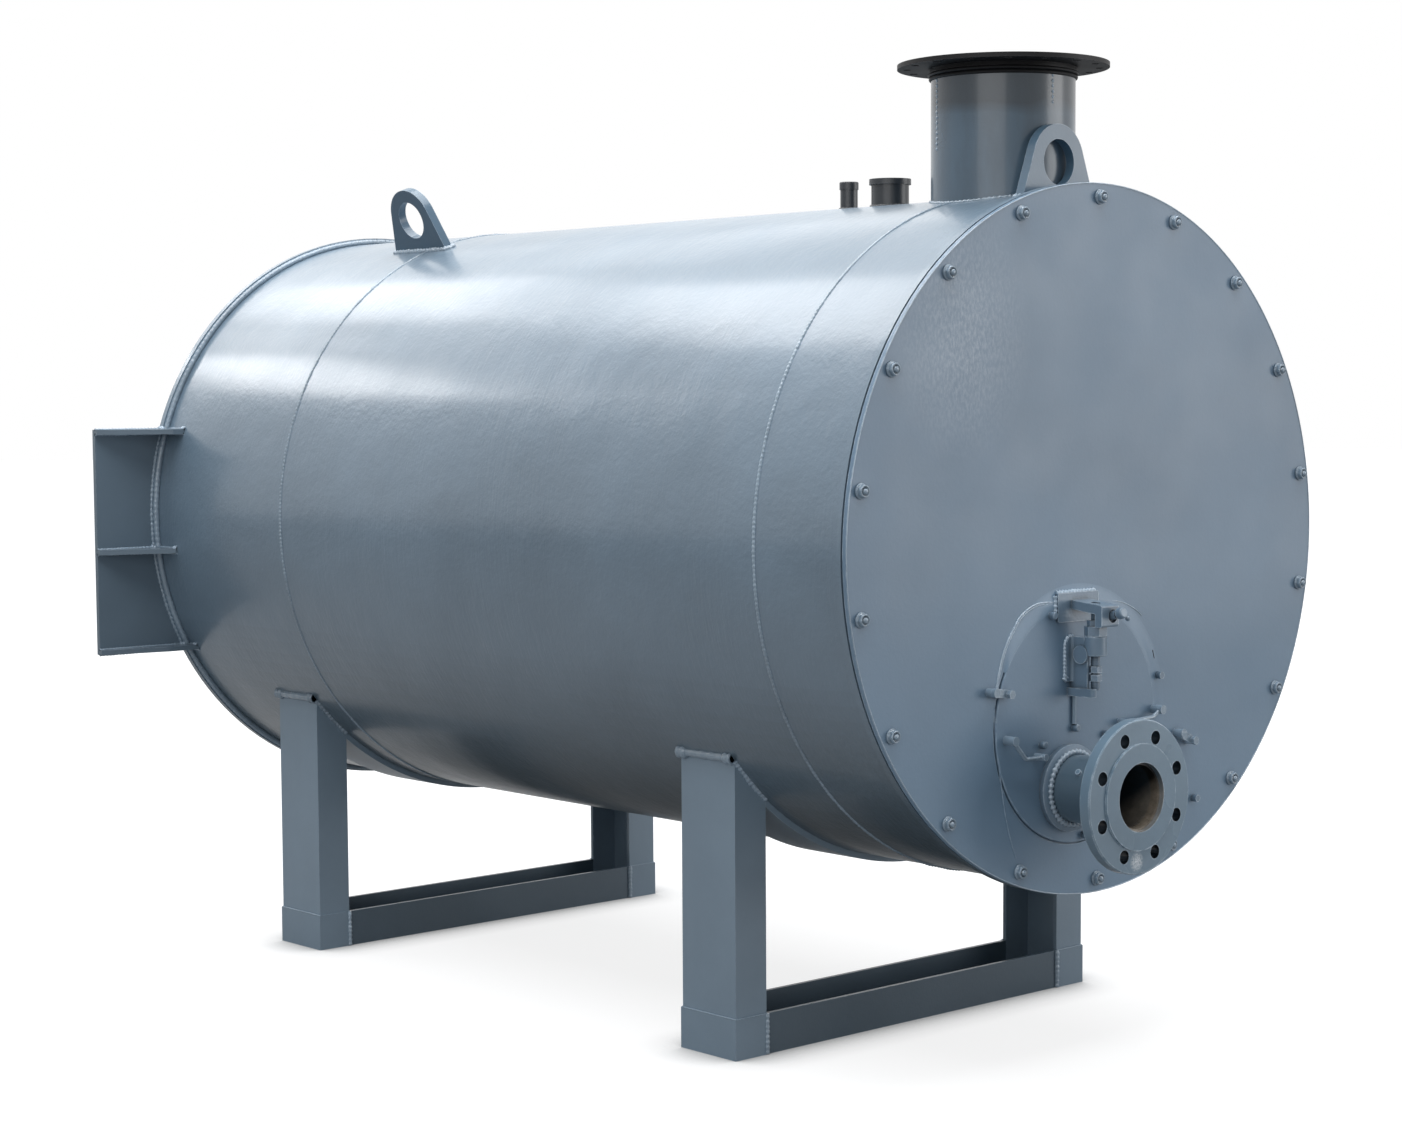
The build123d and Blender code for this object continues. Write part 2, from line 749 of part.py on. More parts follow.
# Clamping screw in the recess of the strap, rising to its head, with one arm of its tommy bar
recess_y = strap_front + recess_depth
screw_length = screw_collar + screw_neck + screw_head
screw_direction = Vector(0, -screw_length, screw_rise).normalized()
tommy_tilt = radians(tommy_turn)
head_centre = Vector(screw_x, recess_y, screw_z) + screw_direction * (screw_length - screw_head / 2)
with BuildPart() as hinge_screw:
    with BuildSketch(Plane.XZ.offset(-recess_y)):
        with Locations((screw_x, screw_z)):
            Circle(screw_collar_radius)
    extrude(amount=screw_collar, dir=screw_direction)
    for start, length, radius in ((screw_collar, screw_neck, screw_neck_radius),
                                  (screw_collar + screw_neck, screw_head, screw_head_radius)):
        with BuildSketch(Plane(origin=Vector(screw_x, recess_y, screw_z) + screw_direction * start,
                               z_dir=screw_direction)):
            Circle(radius)
        extrude(amount=length)
    fillet(hinge_screw.edges().group_by(Axis.Y)[0], screw_head_radius / 3)
    with BuildSketch(Plane(origin=head_centre, z_dir=(cos(tommy_tilt), 0, sin(tommy_tilt)))):
        Circle(tommy_radius)
    extrude(amount=tommy_length)
    with Locations(head_centre + Vector(tommy_length * cos(tommy_tilt), 0, tommy_length * sin(tommy_tilt))):
        Sphere(tommy_ball)
save(hinge_screw, "hinge_screw")

# Thin rod down the door below the hinge
with BuildPart() as door_rod:
    with BuildSketch(Plane.XY.offset(door_top - door_rod_top_drop - door_rod_length)):
        with Locations((hinge_x + door_rod_shift, door_face_y - door_rod_radius)):
            Circle(door_rod_radius)
    extrude(amount=door_rod_length)
save(door_rod, "door_rod")


def dog_clamp(place, turn):
    """Short clamping bar with a round bolt head at its left end and a nut at its right end."""
    arm = (dog_length - dog_width) / 2
    with BuildPart() as dog:
        with BuildSketch(section(0, door_x + place[0], door_z + place[1])):
            SlotOverall(dog_length, dog_width, rotation=turn)
        extrude(amount=dog_thickness)
        with BuildSketch(section(-dog_thickness, door_x + place[0], door_z + place[1])):
            with Locations(Rot(0, 0, turn) * Pos(-arm, 0)):
                Circle(dog_bolt_radius)
            with Locations(Rot(0, 0, turn) * Pos(arm, 0)):
                RegularPolygon(dog_bolt_radius, 6)
        extrude(amount=dog_bolt_height)
        with BuildSketch(section(0, door_x, door_z)):
            Circle(door_radius)
        extrude(amount=door_proud, mode=Mode.SUBTRACT)
    return dog


save(dog_clamp(left_dog_place, left_dog_turn), "left_dog")
save(dog_clamp(right_dog_place, right_dog_turn), "right_dog")


def rod_handle(bends):
    """Bent rod held off the door by a post under each end, the first end with the larger knob."""
    with BuildPart() as handle:
        with BuildLine(section(-door_proud - handle_standoff, door_x, door_z)) as route:
            FilletPolyline(*bends, radius=handle_bend)
        with BuildSketch(Plane(origin=route.line @ 0, z_dir=route.line % 0)):
            Circle(handle_radius)
        sweep()
        with BuildSketch(section(-door_proud, door_x, door_z)):
            with Locations(bends[0]):
                Circle(knob_radius)
            with Locations(bends[-1]):
                Circle(knob_radius - handle_radius / 2)
        extrude(amount=handle_standoff + knob_radius)
    return handle


save(rod_handle(left_handle_bends), "left_handle")
save(rod_handle(right_handle_bends), "right_handle")

# Small studs on the door and on the cover
with BuildPart() as small_studs:
    for places, base in ((door_stud_places, door_proud), (cover_stud_places, 0.0)):
        with BuildSketch(section(-base, door_x, door_z)):
            with Locations(*places):
                Circle(stud_boss_radius)
        extrude(amount=stud_boss_height)
    fillet(small_studs.edges().filter_by(GeomType.CIRCLE).group_by(Axis.Y)[0], stud_boss_radius / 3)
save(small_studs, "small_studs")
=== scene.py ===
import math

import bmesh
import bpy
from mathutils import Matrix, Vector


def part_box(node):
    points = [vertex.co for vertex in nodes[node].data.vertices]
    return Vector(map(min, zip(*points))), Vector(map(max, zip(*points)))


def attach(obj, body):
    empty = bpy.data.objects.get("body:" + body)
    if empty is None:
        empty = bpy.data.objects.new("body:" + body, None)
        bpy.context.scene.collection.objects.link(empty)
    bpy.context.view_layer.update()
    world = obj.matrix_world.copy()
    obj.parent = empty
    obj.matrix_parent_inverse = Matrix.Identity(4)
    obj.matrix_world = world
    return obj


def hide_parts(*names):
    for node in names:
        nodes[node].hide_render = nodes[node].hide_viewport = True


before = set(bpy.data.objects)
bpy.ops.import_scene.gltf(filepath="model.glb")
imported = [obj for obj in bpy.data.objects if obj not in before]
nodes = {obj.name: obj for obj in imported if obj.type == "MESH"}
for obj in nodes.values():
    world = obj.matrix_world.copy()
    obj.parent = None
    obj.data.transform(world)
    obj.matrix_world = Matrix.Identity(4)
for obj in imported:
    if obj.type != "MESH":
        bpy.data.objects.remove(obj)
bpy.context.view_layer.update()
MM = 0.001
FULL_TURN = 2 * math.pi

# Boxes of the nodes that the pieces here are fitted to
cover_low, cover_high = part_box("front_cover")
course_low, course_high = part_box("shell_middle_course")
ring_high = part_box("front_flange_ring")[1]
rear_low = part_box("rear_end_plate")[0]
stack_low, stack_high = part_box("stack_pipe")
collar_low, collar_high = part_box("stack_collar")
nozzle_low, nozzle_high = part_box("large_nozzle")
small_low, small_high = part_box("small_nozzle")
inlet_low, inlet_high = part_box("inlet_flange")
inlet_collar_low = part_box("inlet_collar")[0]
door_low, door_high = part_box("inspection_door")
block_low, block_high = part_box("hinge_block")
plate_low, plate_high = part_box("hinge_bracket")
rod_low, rod_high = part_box("hinge_rod")
bracket_low, bracket_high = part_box("side_bracket_plate")
gusset_boxes = [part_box(f"bracket_{level}_gusset") for level in ("top", "middle", "bottom")]
front_lug_low, front_lug_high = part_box("front_lifting_lug")
rear_lug_low, rear_lug_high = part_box("rear_lifting_lug")
foot_low, foot_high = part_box("foot_plates")

# Shell, cover and bolts
AXIS_Z = (cover_low.z + cover_high.z) / 2
RIM_RADIUS = (cover_high.x - cover_low.x) / 2
SHELL_RADIUS = (course_high.x - course_low.x) / 2
COVER_Y = cover_low.y
FRONT_SEAM_Y = -204 * MM
REAR_SEAM_Y = 873 * MM
BOLT_COUNT = 18
BOLT_CIRCLE = 449 * MM
BOLT_SIDES = 24
WASHER_RADIUS = 10 * MM
WASHER_TOP = 2.5 * MM
NUT_RADIUS = 7.4 * MM
NUT_TOP = 8.6 * MM
NUT_CORNER = 1.12
RECESS_RADIUS = 6 * MM
RECESS_FLOOR = 5.2 * MM
STUD_RADIUS = 3.5 * MM
STUD_TOP = 10.8 * MM

# Door in the cover, the paint over its gap, and the hinge over it, with angles in degrees from +X to +Z
DOOR_X = (door_low.x + door_high.x) / 2
DOOR_Z = (door_low.z + door_high.z) / 2
DOOR_RADIUS = (door_high.x - door_low.x) / 2
DOOR_PROUD = 2 * MM
FILLED_FROM = -72
FILLED_TO = 152
SKIN_FROM = DOOR_RADIUS - 3 * MM
SKIN_LEAST = 6 * MM
SKIN_MORE = 20 * MM
SKIN_FADE = 14
SKIN_BASE = 0.03 * MM
SKIN_SUNK = 1 * MM
SKIN_STEPS = 120
PLATE_CORNER = 12.4 * MM
PLATE_FOOT = 516 * MM
THREAD_PITCH = 2.2 * MM
THREAD_DEPTH = 0.9 * MM

# Marks on the cover, in millimetres across and up
DOOR_SEAT = [(-86, 617.2), (-99.1, 618), (-118.6, 617.3), (-138, 611.2), (-153.7, 601.4), (-163.6, 589.4),
             (-172.6, 577.7), (-180.5, 565.4), (-186.6, 552), (-191, 539), (-194.6, 526), (-197.5, 512)]
CREASE = [(-201.6, 491.6), (-199.2, 444.2), (-190.3, 399.1), (-181.3, 353.6), (-170.3, 316.7),
          (-159.9, 291.6)]
UPPER_LINE = [(19.2, 616.3), (47.6, 611.6), (71.6, 603.2), (91.1, 591.3)]
UPPER_NICK = [(114.9, 542.5), (118.5, 531.1)]
LOWER_NICK = [(119.5, 483.6), (120.6, 469.4)]

# Stack, nozzles and lugs on the crown; seam angles run from +X to +Y, the lean from upright, in degrees
STACK_X = (stack_low.x + stack_high.x) / 2
STACK_Y = (stack_low.y + stack_high.y) / 2
STACK_RADIUS = (stack_high.x - stack_low.x) / 2
LEFT_SEAM_ANGLE = 157
LEFT_SEAM = 95 * MM
RIGHT_SEAM_ANGLE = 264
RIGHT_SEAM = 38 * MM
COLLAR_RING = 2.5 * MM
RING_PLACES = ((0.2 * MM, 1.0 * MM), (5.6 * MM, 0.0))
COLLAR_NECK = 11.4 * MM
NECK_INSET = 2.4 * MM
COLLAR_SIDES = 128
NOZZLE_RADIUS = 26.5 * MM
SMALL_RADIUS = 12.5 * MM
REAR_LUG_LEAN = 20.4
LUG_THICKNESS = 14 * MM

# Inlet through the door
INLET_X = (inlet_low.x + inlet_high.x) / 2
INLET_Z = (inlet_low.z + inlet_high.z) / 2
INLET_PIPE = 44.45 * MM
INLET_BORE = 41.25 * MM
RAISED_FACE = 69 * MM
FLANGE_EDGE = (inlet_high.x - inlet_low.x) / 2

# The two channel frames
FRAME_GAP = 990 * MM
FRAME_YS = (0.0, FRAME_GAP)
LEG_FLANGE = 56 * MM
SHOE = 2 * MM
LEG_OUTER = foot_high.x - SHOE
LEG_INNER = LEG_OUTER - LEG_FLANGE
LEG_HALF_DEPTH = (foot_high.y - foot_low.y - FRAME_GAP) / 2 - SHOE

# Wear, stains, tone, and painted shade and highlights
SCUFF_AT = (-0.262, 0.0, 0.965)
SCUFF_EDGE = 130 * MM
SCUFF_CORE = 30 * MM
SCUFF = (0.34, 0.41, 0.5)
CHALK_AT = (INLET_X - 5.7 * MM, inlet_low.y + 3 * MM, INLET_Z - 82.9 * MM)
CHALK_EDGE = 14 * MM
CHALK_CORE = 5 * MM
CHALK = (0.74, 0.78, 0.82)
# Colour of the shade painted into tight corners
CREVICE_SHADE_COLOUR = (0.02, 0.03, 0.04)
# Lighter tone that the cover takes towards the bottom, between two heights
LOWER_TONE = (0.25, 0.38, 0.52)
LIGHTER_FROM_Z = 0.8
LIGHTEST_BELOW_Z = 0.35
# Colour of the shade painted on the shell's underside
UNDERSIDE_SHADE = (0.03, 0.042, 0.048)
SMUDGE = (0.045, 0.065, 0.085)
# Colour of the shadow painted on the stack under its collar
STACK_SHADOW = (0.012, 0.018, 0.024)
PIPE_SHADE = (0.03, 0.05, 0.068)
HOLE_SHADE = (0.004, 0.006, 0.008)
DARK_RUST = (0.13, 0.11, 0.085)
PALE_RUST = (0.3, 0.26, 0.21)
# Colour and depths of the shade painted inside the inlet's bore
BORE_SHADE = (0.002, 0.002, 0.002)
BORE_SHADE_FROM = 5 * MM
BORE_SHADE_FULL = 45 * MM
# Colour of the highlight painted on the edges of the fittings
EDGE_HIGHLIGHT = (0.6, 0.7, 0.8)

# Camera for the photograph's frame of 1402 by 1122 pixels
IMAGE_WIDTH = 1402
IMAGE_HEIGHT = 1122
FOCAL_PIXELS = 2692.0
AIM_X = 725.0
AIM_Y = 596.5
CAMERA_AT = Vector((-2.7426, -2.6702, 0.8950))
CAMERA_YAW = math.radians(42.209)
CAMERA_PITCH = math.radians(4.379)
CAMERA_ROLL = math.radians(-0.296)
SENSOR = 36.0

# Studio
WHITE = (1, 1, 1)
SKY_FILL = (0.95, 0.97, 1.0)
FLOOR_GREY = (0.26, 0.265, 0.27)
FLOOR_SIZE = 60
FLOOR_NEAR = 2.6
FLOOR_FAR = 6.0
CONTACT_REACH = 90 * MM
PANEL_HEIGHT = 4.2
LIT_AT = Vector((0, 0.45, 0.8))


# Node helpers
def feed(tree, socket, value):
    """Links a socket into another, or sets it to a value; a colour may leave its alpha out."""
    if isinstance(value, bpy.types.NodeSocket):
        tree.links.new(value, socket)
    elif socket.type == "RGBA":
        socket.default_value = (*value, 1.0)
    else:
        socket.default_value = value


def add_node(tree, kind, inputs=None, **settings):
    """New node with its settings; inputs go by name or number, each a value or a socket."""
    node = tree.nodes.new(kind)
    for key, value in settings.items():
        setattr(node, key, value)
    for label, value in (inputs or {}).items():
        feed(tree, node.inputs[label], value)
    return node


def math_node(tree, operation, first, second=0.0):
    """Maths on two sockets or numbers."""
    return add_node(tree, "ShaderNodeMath", {0: first, 1: second}, operation=operation).outputs[0]


def times(tree, first, second):
    """Product of two sockets or numbers."""
    return math_node(tree, "MULTIPLY", first, second)


# Geometry Nodes trees
def geometry_tree(name, inputs):
    """Empty tree with a geometry in and out, a finish and the named inputs."""
    tree = bpy.data.node_groups.new(name, "GeometryNodeTree")
    tree.interface.new_socket("Geometry", in_out="INPUT", socket_type="NodeSocketGeometry")
    tree.interface.new_socket("Geometry", in_out="OUTPUT", socket_type="NodeSocketGeometry")
    for label, kind in {**inputs, "Finish": "Material"}.items():
        tree.interface.new_socket(label, in_out="INPUT", socket_type="NodeSocket" + kind)
    return tree, tree.nodes.new("NodeGroupInput").outputs


def finish_tree(tree, given, geometry):
    """Smooth, realise and paint what the tree has made."""
    smooth = add_node(tree, "GeometryNodeSetShadeSmooth", {"Geometry": geometry})
    real = add_node(tree, "GeometryNodeRealizeInstances", {"Geometry": smooth.outputs["Geometry"]})
    paint = add_node(tree, "GeometryNodeSetMaterial",
                     {"Geometry": real.outputs["Geometry"], "Material": given["Finish"]})
    add_node(tree, "NodeGroupOutput", {"Geometry": paint.outputs["Geometry"]})
    return tree


def bar_along_paths(tree, given, spacing, radius, sides):
    """Round bar along each path, with closed ends and a radius for each step."""
    path = add_node(tree, "GeometryNodeMeshToCurve", {"Mesh": given["Geometry"]})
    steps = add_node(tree, "GeometryNodeResampleCurve", {"Curve": path.outputs["Curve"], "Length": spacing},
                     mode="LENGTH")
    section = add_node(tree, "GeometryNodeCurvePrimitiveCircle", {"Resolution": sides, "Radius": 1.0})
    skin = add_node(tree, "GeometryNodeCurveToMesh",
                    {"Curve": steps.outputs["Curve"], "Profile Curve": section.outputs["Curve"],
                     "Scale": radius, "Fill Caps": True})
    return finish_tree(tree, given, skin.outputs["Mesh"])


def weld_bead_tree():
    """Round bead along each path: its width swells with each ripple and wanders at random."""
    tree, given = geometry_tree("weld_bead", {
        "Width": "Float", "Ripple Pitch": "Float", "Ripple Depth": "Float", "Unevenness": "Float",
        "Seed": "Float"})
    pitch = given["Ripple Pitch"]
    wander = add_node(tree, "ShaderNodeTexNoise",
                      {"W": given["Seed"], "Scale": math_node(tree, "DIVIDE", 0.4, pitch)},
                      noise_dimensions="4D")
    swell = times(tree, math_node(tree, "SUBTRACT", wander.outputs["Fac"], 0.5), given["Unevenness"])
    along = add_node(tree, "GeometryNodeSplineParameter").outputs["Length"]
    wave = math_node(tree, "SINE", times(tree, math_node(tree, "DIVIDE", along, pitch), FULL_TURN))
    ripple = times(tree, wave, given["Ripple Depth"])
    share = math_node(tree, "ADD", math_node(tree, "ADD", swell, ripple), 1.0)
    radius = times(tree, times(tree, given["Width"], 0.5), share)
    return bar_along_paths(tree, given, times(tree, pitch, 0.25), radius, sides=8)


def screw_thread_tree():
    """Threaded bar along a straight path: crests and roots follow each other at half the pitch."""
    tree, given = geometry_tree("screw_thread", {
        "Crest Radius": "Float", "Root Radius": "Float", "Pitch": "Float"})
    order = add_node(tree, "GeometryNodeInputIndex").outputs["Index"]
    crest = math_node(tree, "MODULO", order, 2.0)
    rise = math_node(tree, "SUBTRACT", given["Crest Radius"], given["Root Radius"])
    radius = math_node(tree, "ADD", times(tree, crest, rise), given["Root Radius"])
    return bar_along_paths(tree, given, times(tree, given["Pitch"], 0.5), radius, sides=16)


def bolt_circle_tree():
    """One head at each place of a bolt circle, each turned at random about its own axis."""
    tree, given = geometry_tree("bolt_circle", {
        "Count": "Int", "Radius": "Float", "First Angle": "Float", "Seed": "Int", "Centre": "Vector"})
    circle = add_node(tree, "GeometryNodeMeshCircle", {"Vertices": given["Count"], "Radius": given["Radius"]})
    turn = add_node(tree, "FunctionNodeRandomValue", {"Seed": given["Seed"]}, data_type="FLOAT")
    spin = add_node(tree, "ShaderNodeCombineXYZ", {"Z": times(tree, turn.outputs["Value"], math.pi / 3)})
    heads = add_node(tree, "GeometryNodeInstanceOnPoints",
                     {"Points": circle.outputs["Mesh"], "Instance": given["Geometry"],
                      "Rotation": spin.outputs["Vector"]})
    first = add_node(tree, "ShaderNodeCombineXYZ", {"Z": given["First Angle"]})
    turned = add_node(tree, "GeometryNodeTransform",
                      {"Geometry": heads.outputs["Instances"], "Rotation": first.outputs["Vector"]})
    stand = add_node(tree, "GeometryNodeTransform",
                     {"Geometry": turned.outputs["Geometry"], "Rotation": (math.pi / 2, 0, 0),
                      "Translation": given["Centre"]})
    return finish_tree(tree, given, stand.outputs["Geometry"])


def grow(name, mesh, tree, values):
    """Runs a tree on a mesh, with its inputs given by name, and returns the plain mesh object."""
    seed = bpy.data.objects.new(name + "_seed", mesh)
    bpy.context.scene.collection.objects.link(seed)
    modifier = seed.modifiers.new("grow", "NODES")
    modifier.node_group = tree
    sockets = {item.name: item.identifier for item in tree.interface.items_tree if item.in_out == "INPUT"}
    for label, value in values.items():
        modifier[sockets[label]] = value
    evaluated = seed.evaluated_get(bpy.context.evaluated_depsgraph_get())
    grown = bpy.data.objects.new(name, bpy.data.meshes.new_from_object(evaluated))
    grown.data.name = name
    seed.modifiers.remove(modifier)
    bpy.data.objects.remove(seed)
    bpy.context.scene.collection.objects.link(grown)
    return grown


# Shader helpers
def object_place(tree):
    """Place of a surface point on the boiler."""
    return add_node(tree, "ShaderNodeTexCoord").outputs["Object"]


def split(tree, vector):
    """X, Y and Z of a vector."""
    return add_node(tree, "ShaderNodeSeparateXYZ", {"Vector": vector}).outputs


def facing(tree):
    """X, Y and Z of the way that a surface faces."""
    return split(tree, add_node(tree, "ShaderNodeNewGeometry").outputs["True Normal"])


def stretched(tree, place, scale, turn=(0, 0, 0)):
    """Places squeezed along each axis, which draws out the pattern read from them."""
    return add_node(tree, "ShaderNodeMapping", {"Vector": place, "Scale": scale, "Rotation": turn}).outputs[0]


def noise(tree, place, scale, detail, roughness=0.5):
    """Noise pattern, from 0 to 1."""
    return add_node(tree, "ShaderNodeTexNoise", {
        "Vector": place, "Scale": scale, "Detail": detail, "Roughness": roughness}).outputs["Fac"]


def spread(tree, source, low, high, to_low=0.0, to_high=1.0):
    """Stretches a value from one range to another, held inside it."""
    node = add_node(tree, "ShaderNodeMapRange", {
        "Value": source, "From Min": low, "From Max": high, "To Min": to_low, "To Max": to_high})
    return node.outputs["Result"]


def bump(tree, height, distance, strength, under=None):
    """Normal of a relief laid over an earlier one."""
    node = add_node(tree, "ShaderNodeBump", {"Height": height, "Distance": distance, "Strength": strength})
    if under is not None:
        feed(tree, node.inputs["Normal"], under)
    return node.outputs["Normal"]


def blend_colours(tree, share, first, second):
    """Colour mix; each colour is a socket or a tuple."""
    node = add_node(tree, "ShaderNodeMix", {"Factor": share}, data_type="RGBA")
    for label, colour in (("A", first), ("B", second)):
        feed(tree, next(item for item in node.inputs if item.name == label and item.type == "RGBA"), colour)
    return next(item for item in node.outputs if item.type == "RGBA")


def reach_from(tree, place, centre, axes):
    """Distance of a surface point from a centre, counted only along the given axes."""
    away = add_node(tree, "ShaderNodeVectorMath", {0: place, 1: centre}, operation="SUBTRACT").outputs[0]
    flat = add_node(tree, "ShaderNodeVectorMath", {0: away, 1: axes}, operation="MULTIPLY").outputs[0]
    return add_node(tree, "ShaderNodeVectorMath", {0: flat}, operation="LENGTH").outputs["Value"]


# Shader groups
def new_group(name, inputs, outputs):
    """Empty shader node group with named sockets; inputs are (name, kind, default)."""
    group = bpy.data.node_groups.new(name, "ShaderNodeTree")
    for label, kind, default in inputs:
        socket = group.interface.new_socket(label, in_out="INPUT", socket_type="NodeSocket" + kind)
        socket.default_value = default
    for label, kind in outputs:
        group.interface.new_socket(label, in_out="OUTPUT", socket_type="NodeSocket" + kind)
    return group, group.nodes.new("NodeGroupInput").outputs, group.nodes.new("NodeGroupOutput").inputs


def sprayed_enamel_group():
    """Sprayed paint over rolled plate: uneven tone, orange peel, leathery wrinkle and slow waves."""
    group, given, result = new_group(
        "sprayed_enamel",
        [("Colour", "Color", (0.2, 0.24, 0.28, 1)), ("Tone Spread", "Float", 0.1),
         ("Roughness", "Float", 0.35), ("Peel", "Float", 0.1), ("Wrinkle", "Float", 0.1),
         ("Waves", "Float", 0.1)],
        [("Colour", "Color"), ("Roughness", "Float"), ("Normal", "Vector")])
    place = object_place(group)
    dark = math_node(group, "SUBTRACT", 1.0, given["Tone Spread"])
    light = math_node(group, "ADD", 1.0, given["Tone Spread"])
    cloud = spread(group, noise(group, place, scale=3.2, detail=6.0, roughness=0.62), 0.3, 0.7, dark, light)
    tint = add_node(group, "ShaderNodeVectorMath", {0: given["Colour"], "Scale": cloud}, operation="SCALE")
    feed(group, result["Colour"], tint.outputs[0])
    patches = spread(group, noise(group, place, scale=9.0, detail=4.0), 0.3, 0.7, -0.05, 0.05)
    feed(group, result["Roughness"], math_node(group, "ADD", given["Roughness"], patches))
    peel = bump(group, noise(group, place, scale=260.0, detail=2.0), 0.6 * MM, given["Peel"])
    wrinkle = bump(group, noise(group, place, scale=135.0, detail=2.0, roughness=0.6), 1.2 * MM,
                   given["Wrinkle"], under=peel)
    wave = bump(group, noise(group, place, scale=3.4, detail=1.5), 30 * MM, given["Waves"], under=wrinkle)
    feed(group, result["Normal"], wave)
    return group


def painted_edge_highlight_group():
    """Mask of the outer edges, where a highlight is painted, broken up by noise."""
    group, given, result = new_group(
        "bright_edge", [("Width", "Float", 2 * MM), ("Breakup Scale", "Float", 90.0)], [("Mask", "Float")])
    rounded = add_node(group, "ShaderNodeBevel", {"Radius": given["Width"]}, samples=4).outputs["Normal"]
    plain = add_node(group, "ShaderNodeNewGeometry").outputs["Normal"]
    turn = add_node(group, "ShaderNodeVectorMath", {0: rounded, 1: plain}, operation="DOT_PRODUCT")
    edge = spread(group, turn.outputs["Value"], 0.97, 0.86)
    breakup = spread(group, noise(group, object_place(group), given["Breakup Scale"], detail=3.0), 0.35, 0.6)
    feed(group, result["Mask"], times(group, edge, breakup))
    return group


def painted_crevice_shade_group():
    """Mask of the tight corners, where shade is painted into the colour."""
    group, given, result = new_group("crevice", [("Reach", "Float", 12 * MM)], [("Mask", "Float")])
    hollow = add_node(group, "ShaderNodeAmbientOcclusion", {"Distance": given["Reach"]}, samples=6)
    feed(group, result["Mask"], spread(group, hollow.outputs["AO"], 0.92, 0.3))
    return group


enamel_group = sprayed_enamel_group()
edge_highlight_tree = painted_edge_highlight_group()
crevice_shade_tree = painted_crevice_shade_group()


# Finishes
def enamel(name, colour, edge=None, rough=0.35, coat=0.3, coat_rough=0.12, specular=0.5, tone=0.1, peel=0.15,
           wrinkle=0.1, waves=0.1, edge_highlight=0.5, edge_width=2 * MM, crevice_shade=0.0):
    """Painted steel; an edge colour paints highlights on the edges, and crevice shade paints shade into tight
    corners. Returns what a finish may add to.
    """
    material = bpy.data.materials.new(name)
    material.use_nodes = True
    tree = material.node_tree
    shader = tree.nodes["Principled BSDF"]
    skin = add_node(tree, "ShaderNodeGroup", node_tree=enamel_group)
    for label, value in (("Colour", colour), ("Tone Spread", tone), ("Roughness", rough), ("Peel", peel),
                         ("Wrinkle", wrinkle), ("Waves", waves)):
        feed(tree, skin.inputs[label], value)
    paint = skin.outputs["Colour"]
    # Painted highlight: the edge colour is laid over the outer edges.
    if edge:
        edges = add_node(tree, "ShaderNodeGroup", node_tree=edge_highlight_tree)
        edges.inputs["Width"].default_value = edge_width
        paint = blend_colours(tree, times(tree, edges.outputs["Mask"], edge_highlight), paint, edge)
    # Painted shade: the tight corners are darkened towards the crevice shade colour.
    if crevice_shade:
        corners = add_node(tree, "ShaderNodeGroup", node_tree=crevice_shade_tree)
        paint = blend_colours(tree, times(tree, corners.outputs["Mask"], crevice_shade), paint, CREVICE_SHADE_COLOUR)
    for label, value in (("Base Color", paint), ("Roughness", skin.outputs["Roughness"]),
                         ("Normal", skin.outputs["Normal"]), ("Coat Weight", coat),
                         ("Coat Roughness", coat_rough), ("Specular IOR Level", specular)):
        feed(tree, shader.inputs[label], value)
    return tree, shader, paint


def shell_finish():
    """Gloss enamel on rolled plate: shallow dents, sanding strokes round the shell, and painted shade on the
    underside.
    """
    tree, shader, paint = enamel("shell_enamel", (0.125, 0.182, 0.24), rough=0.36, coat=0.6, coat_rough=0.17,
                                 wrinkle=0.5, waves=0.3)
    place = object_place(tree)
    x, y, z = split(tree, place)
    angle = math_node(tree, "ARCTAN2", math_node(tree, "SUBTRACT", z, AXIS_Z), x)
    drawn = add_node(tree, "ShaderNodeCombineXYZ", {"X": times(tree, angle, 8.0), "Y": times(tree, y, 150.0)})
    sanded = noise(tree, drawn.outputs["Vector"], scale=1.0, detail=3.0, roughness=0.6)
    patches = spread(tree, noise(tree, place, scale=5.0, detail=2.0), 0.4, 0.6)
    skin = shader.inputs["Normal"].links[0].from_socket
    dents = bump(tree, noise(tree, place, scale=13.0, detail=2.0, roughness=0.6), 6 * MM, 0.35, under=skin)
    feed(tree, shader.inputs["Normal"], bump(tree, sanded, 1.4 * MM, times(tree, patches, 0.55), under=dents))
    # Painted shade: surfaces that face downwards are darkened towards the underside shade.
    under = spread(tree, facing(tree)["Z"], -0.35, -0.85, 0.0, 0.75)
    feed(tree, shader.inputs["Base Color"], blend_colours(tree, under, paint, UNDERSIDE_SHADE))


def cover_finish():
    """Satin enamel, lighter lower down, with a scuffed patch towards the upper left of the cover."""
    tree, shader, paint = enamel("cover_enamel", (0.113, 0.184, 0.266), edge=(0.5, 0.6, 0.7), rough=0.42,
                                 coat=0.15, waves=0.05, edge_highlight=0.75, edge_width=2.4 * MM, crevice_shade=0.5)
    place = object_place(tree)
    # The cover is made lighter towards the bottom.
    lower_down = spread(tree, split(tree, place)["Z"], LIGHTER_FROM_Z, LIGHTEST_BELOW_Z)
    paint = blend_colours(tree, times(tree, lower_down, 0.22), paint, LOWER_TONE)
    patch = spread(tree, reach_from(tree, place, SCUFF_AT, axes=(1, 0, 0.75)), SCUFF_EDGE, SCUFF_CORE)
    drawn = stretched(tree, place, scale=(230, 90, 110), turn=(0, math.radians(32), 0))
    feathers = spread(tree, noise(tree, drawn, scale=1.0, detail=5.0, roughness=0.7), 0.42, 0.64, 0.1, 0.6)
    scuffs = times(tree, patch, feathers)
    feed(tree, shader.inputs["Base Color"], blend_colours(tree, scuffs, paint, SCUFF))


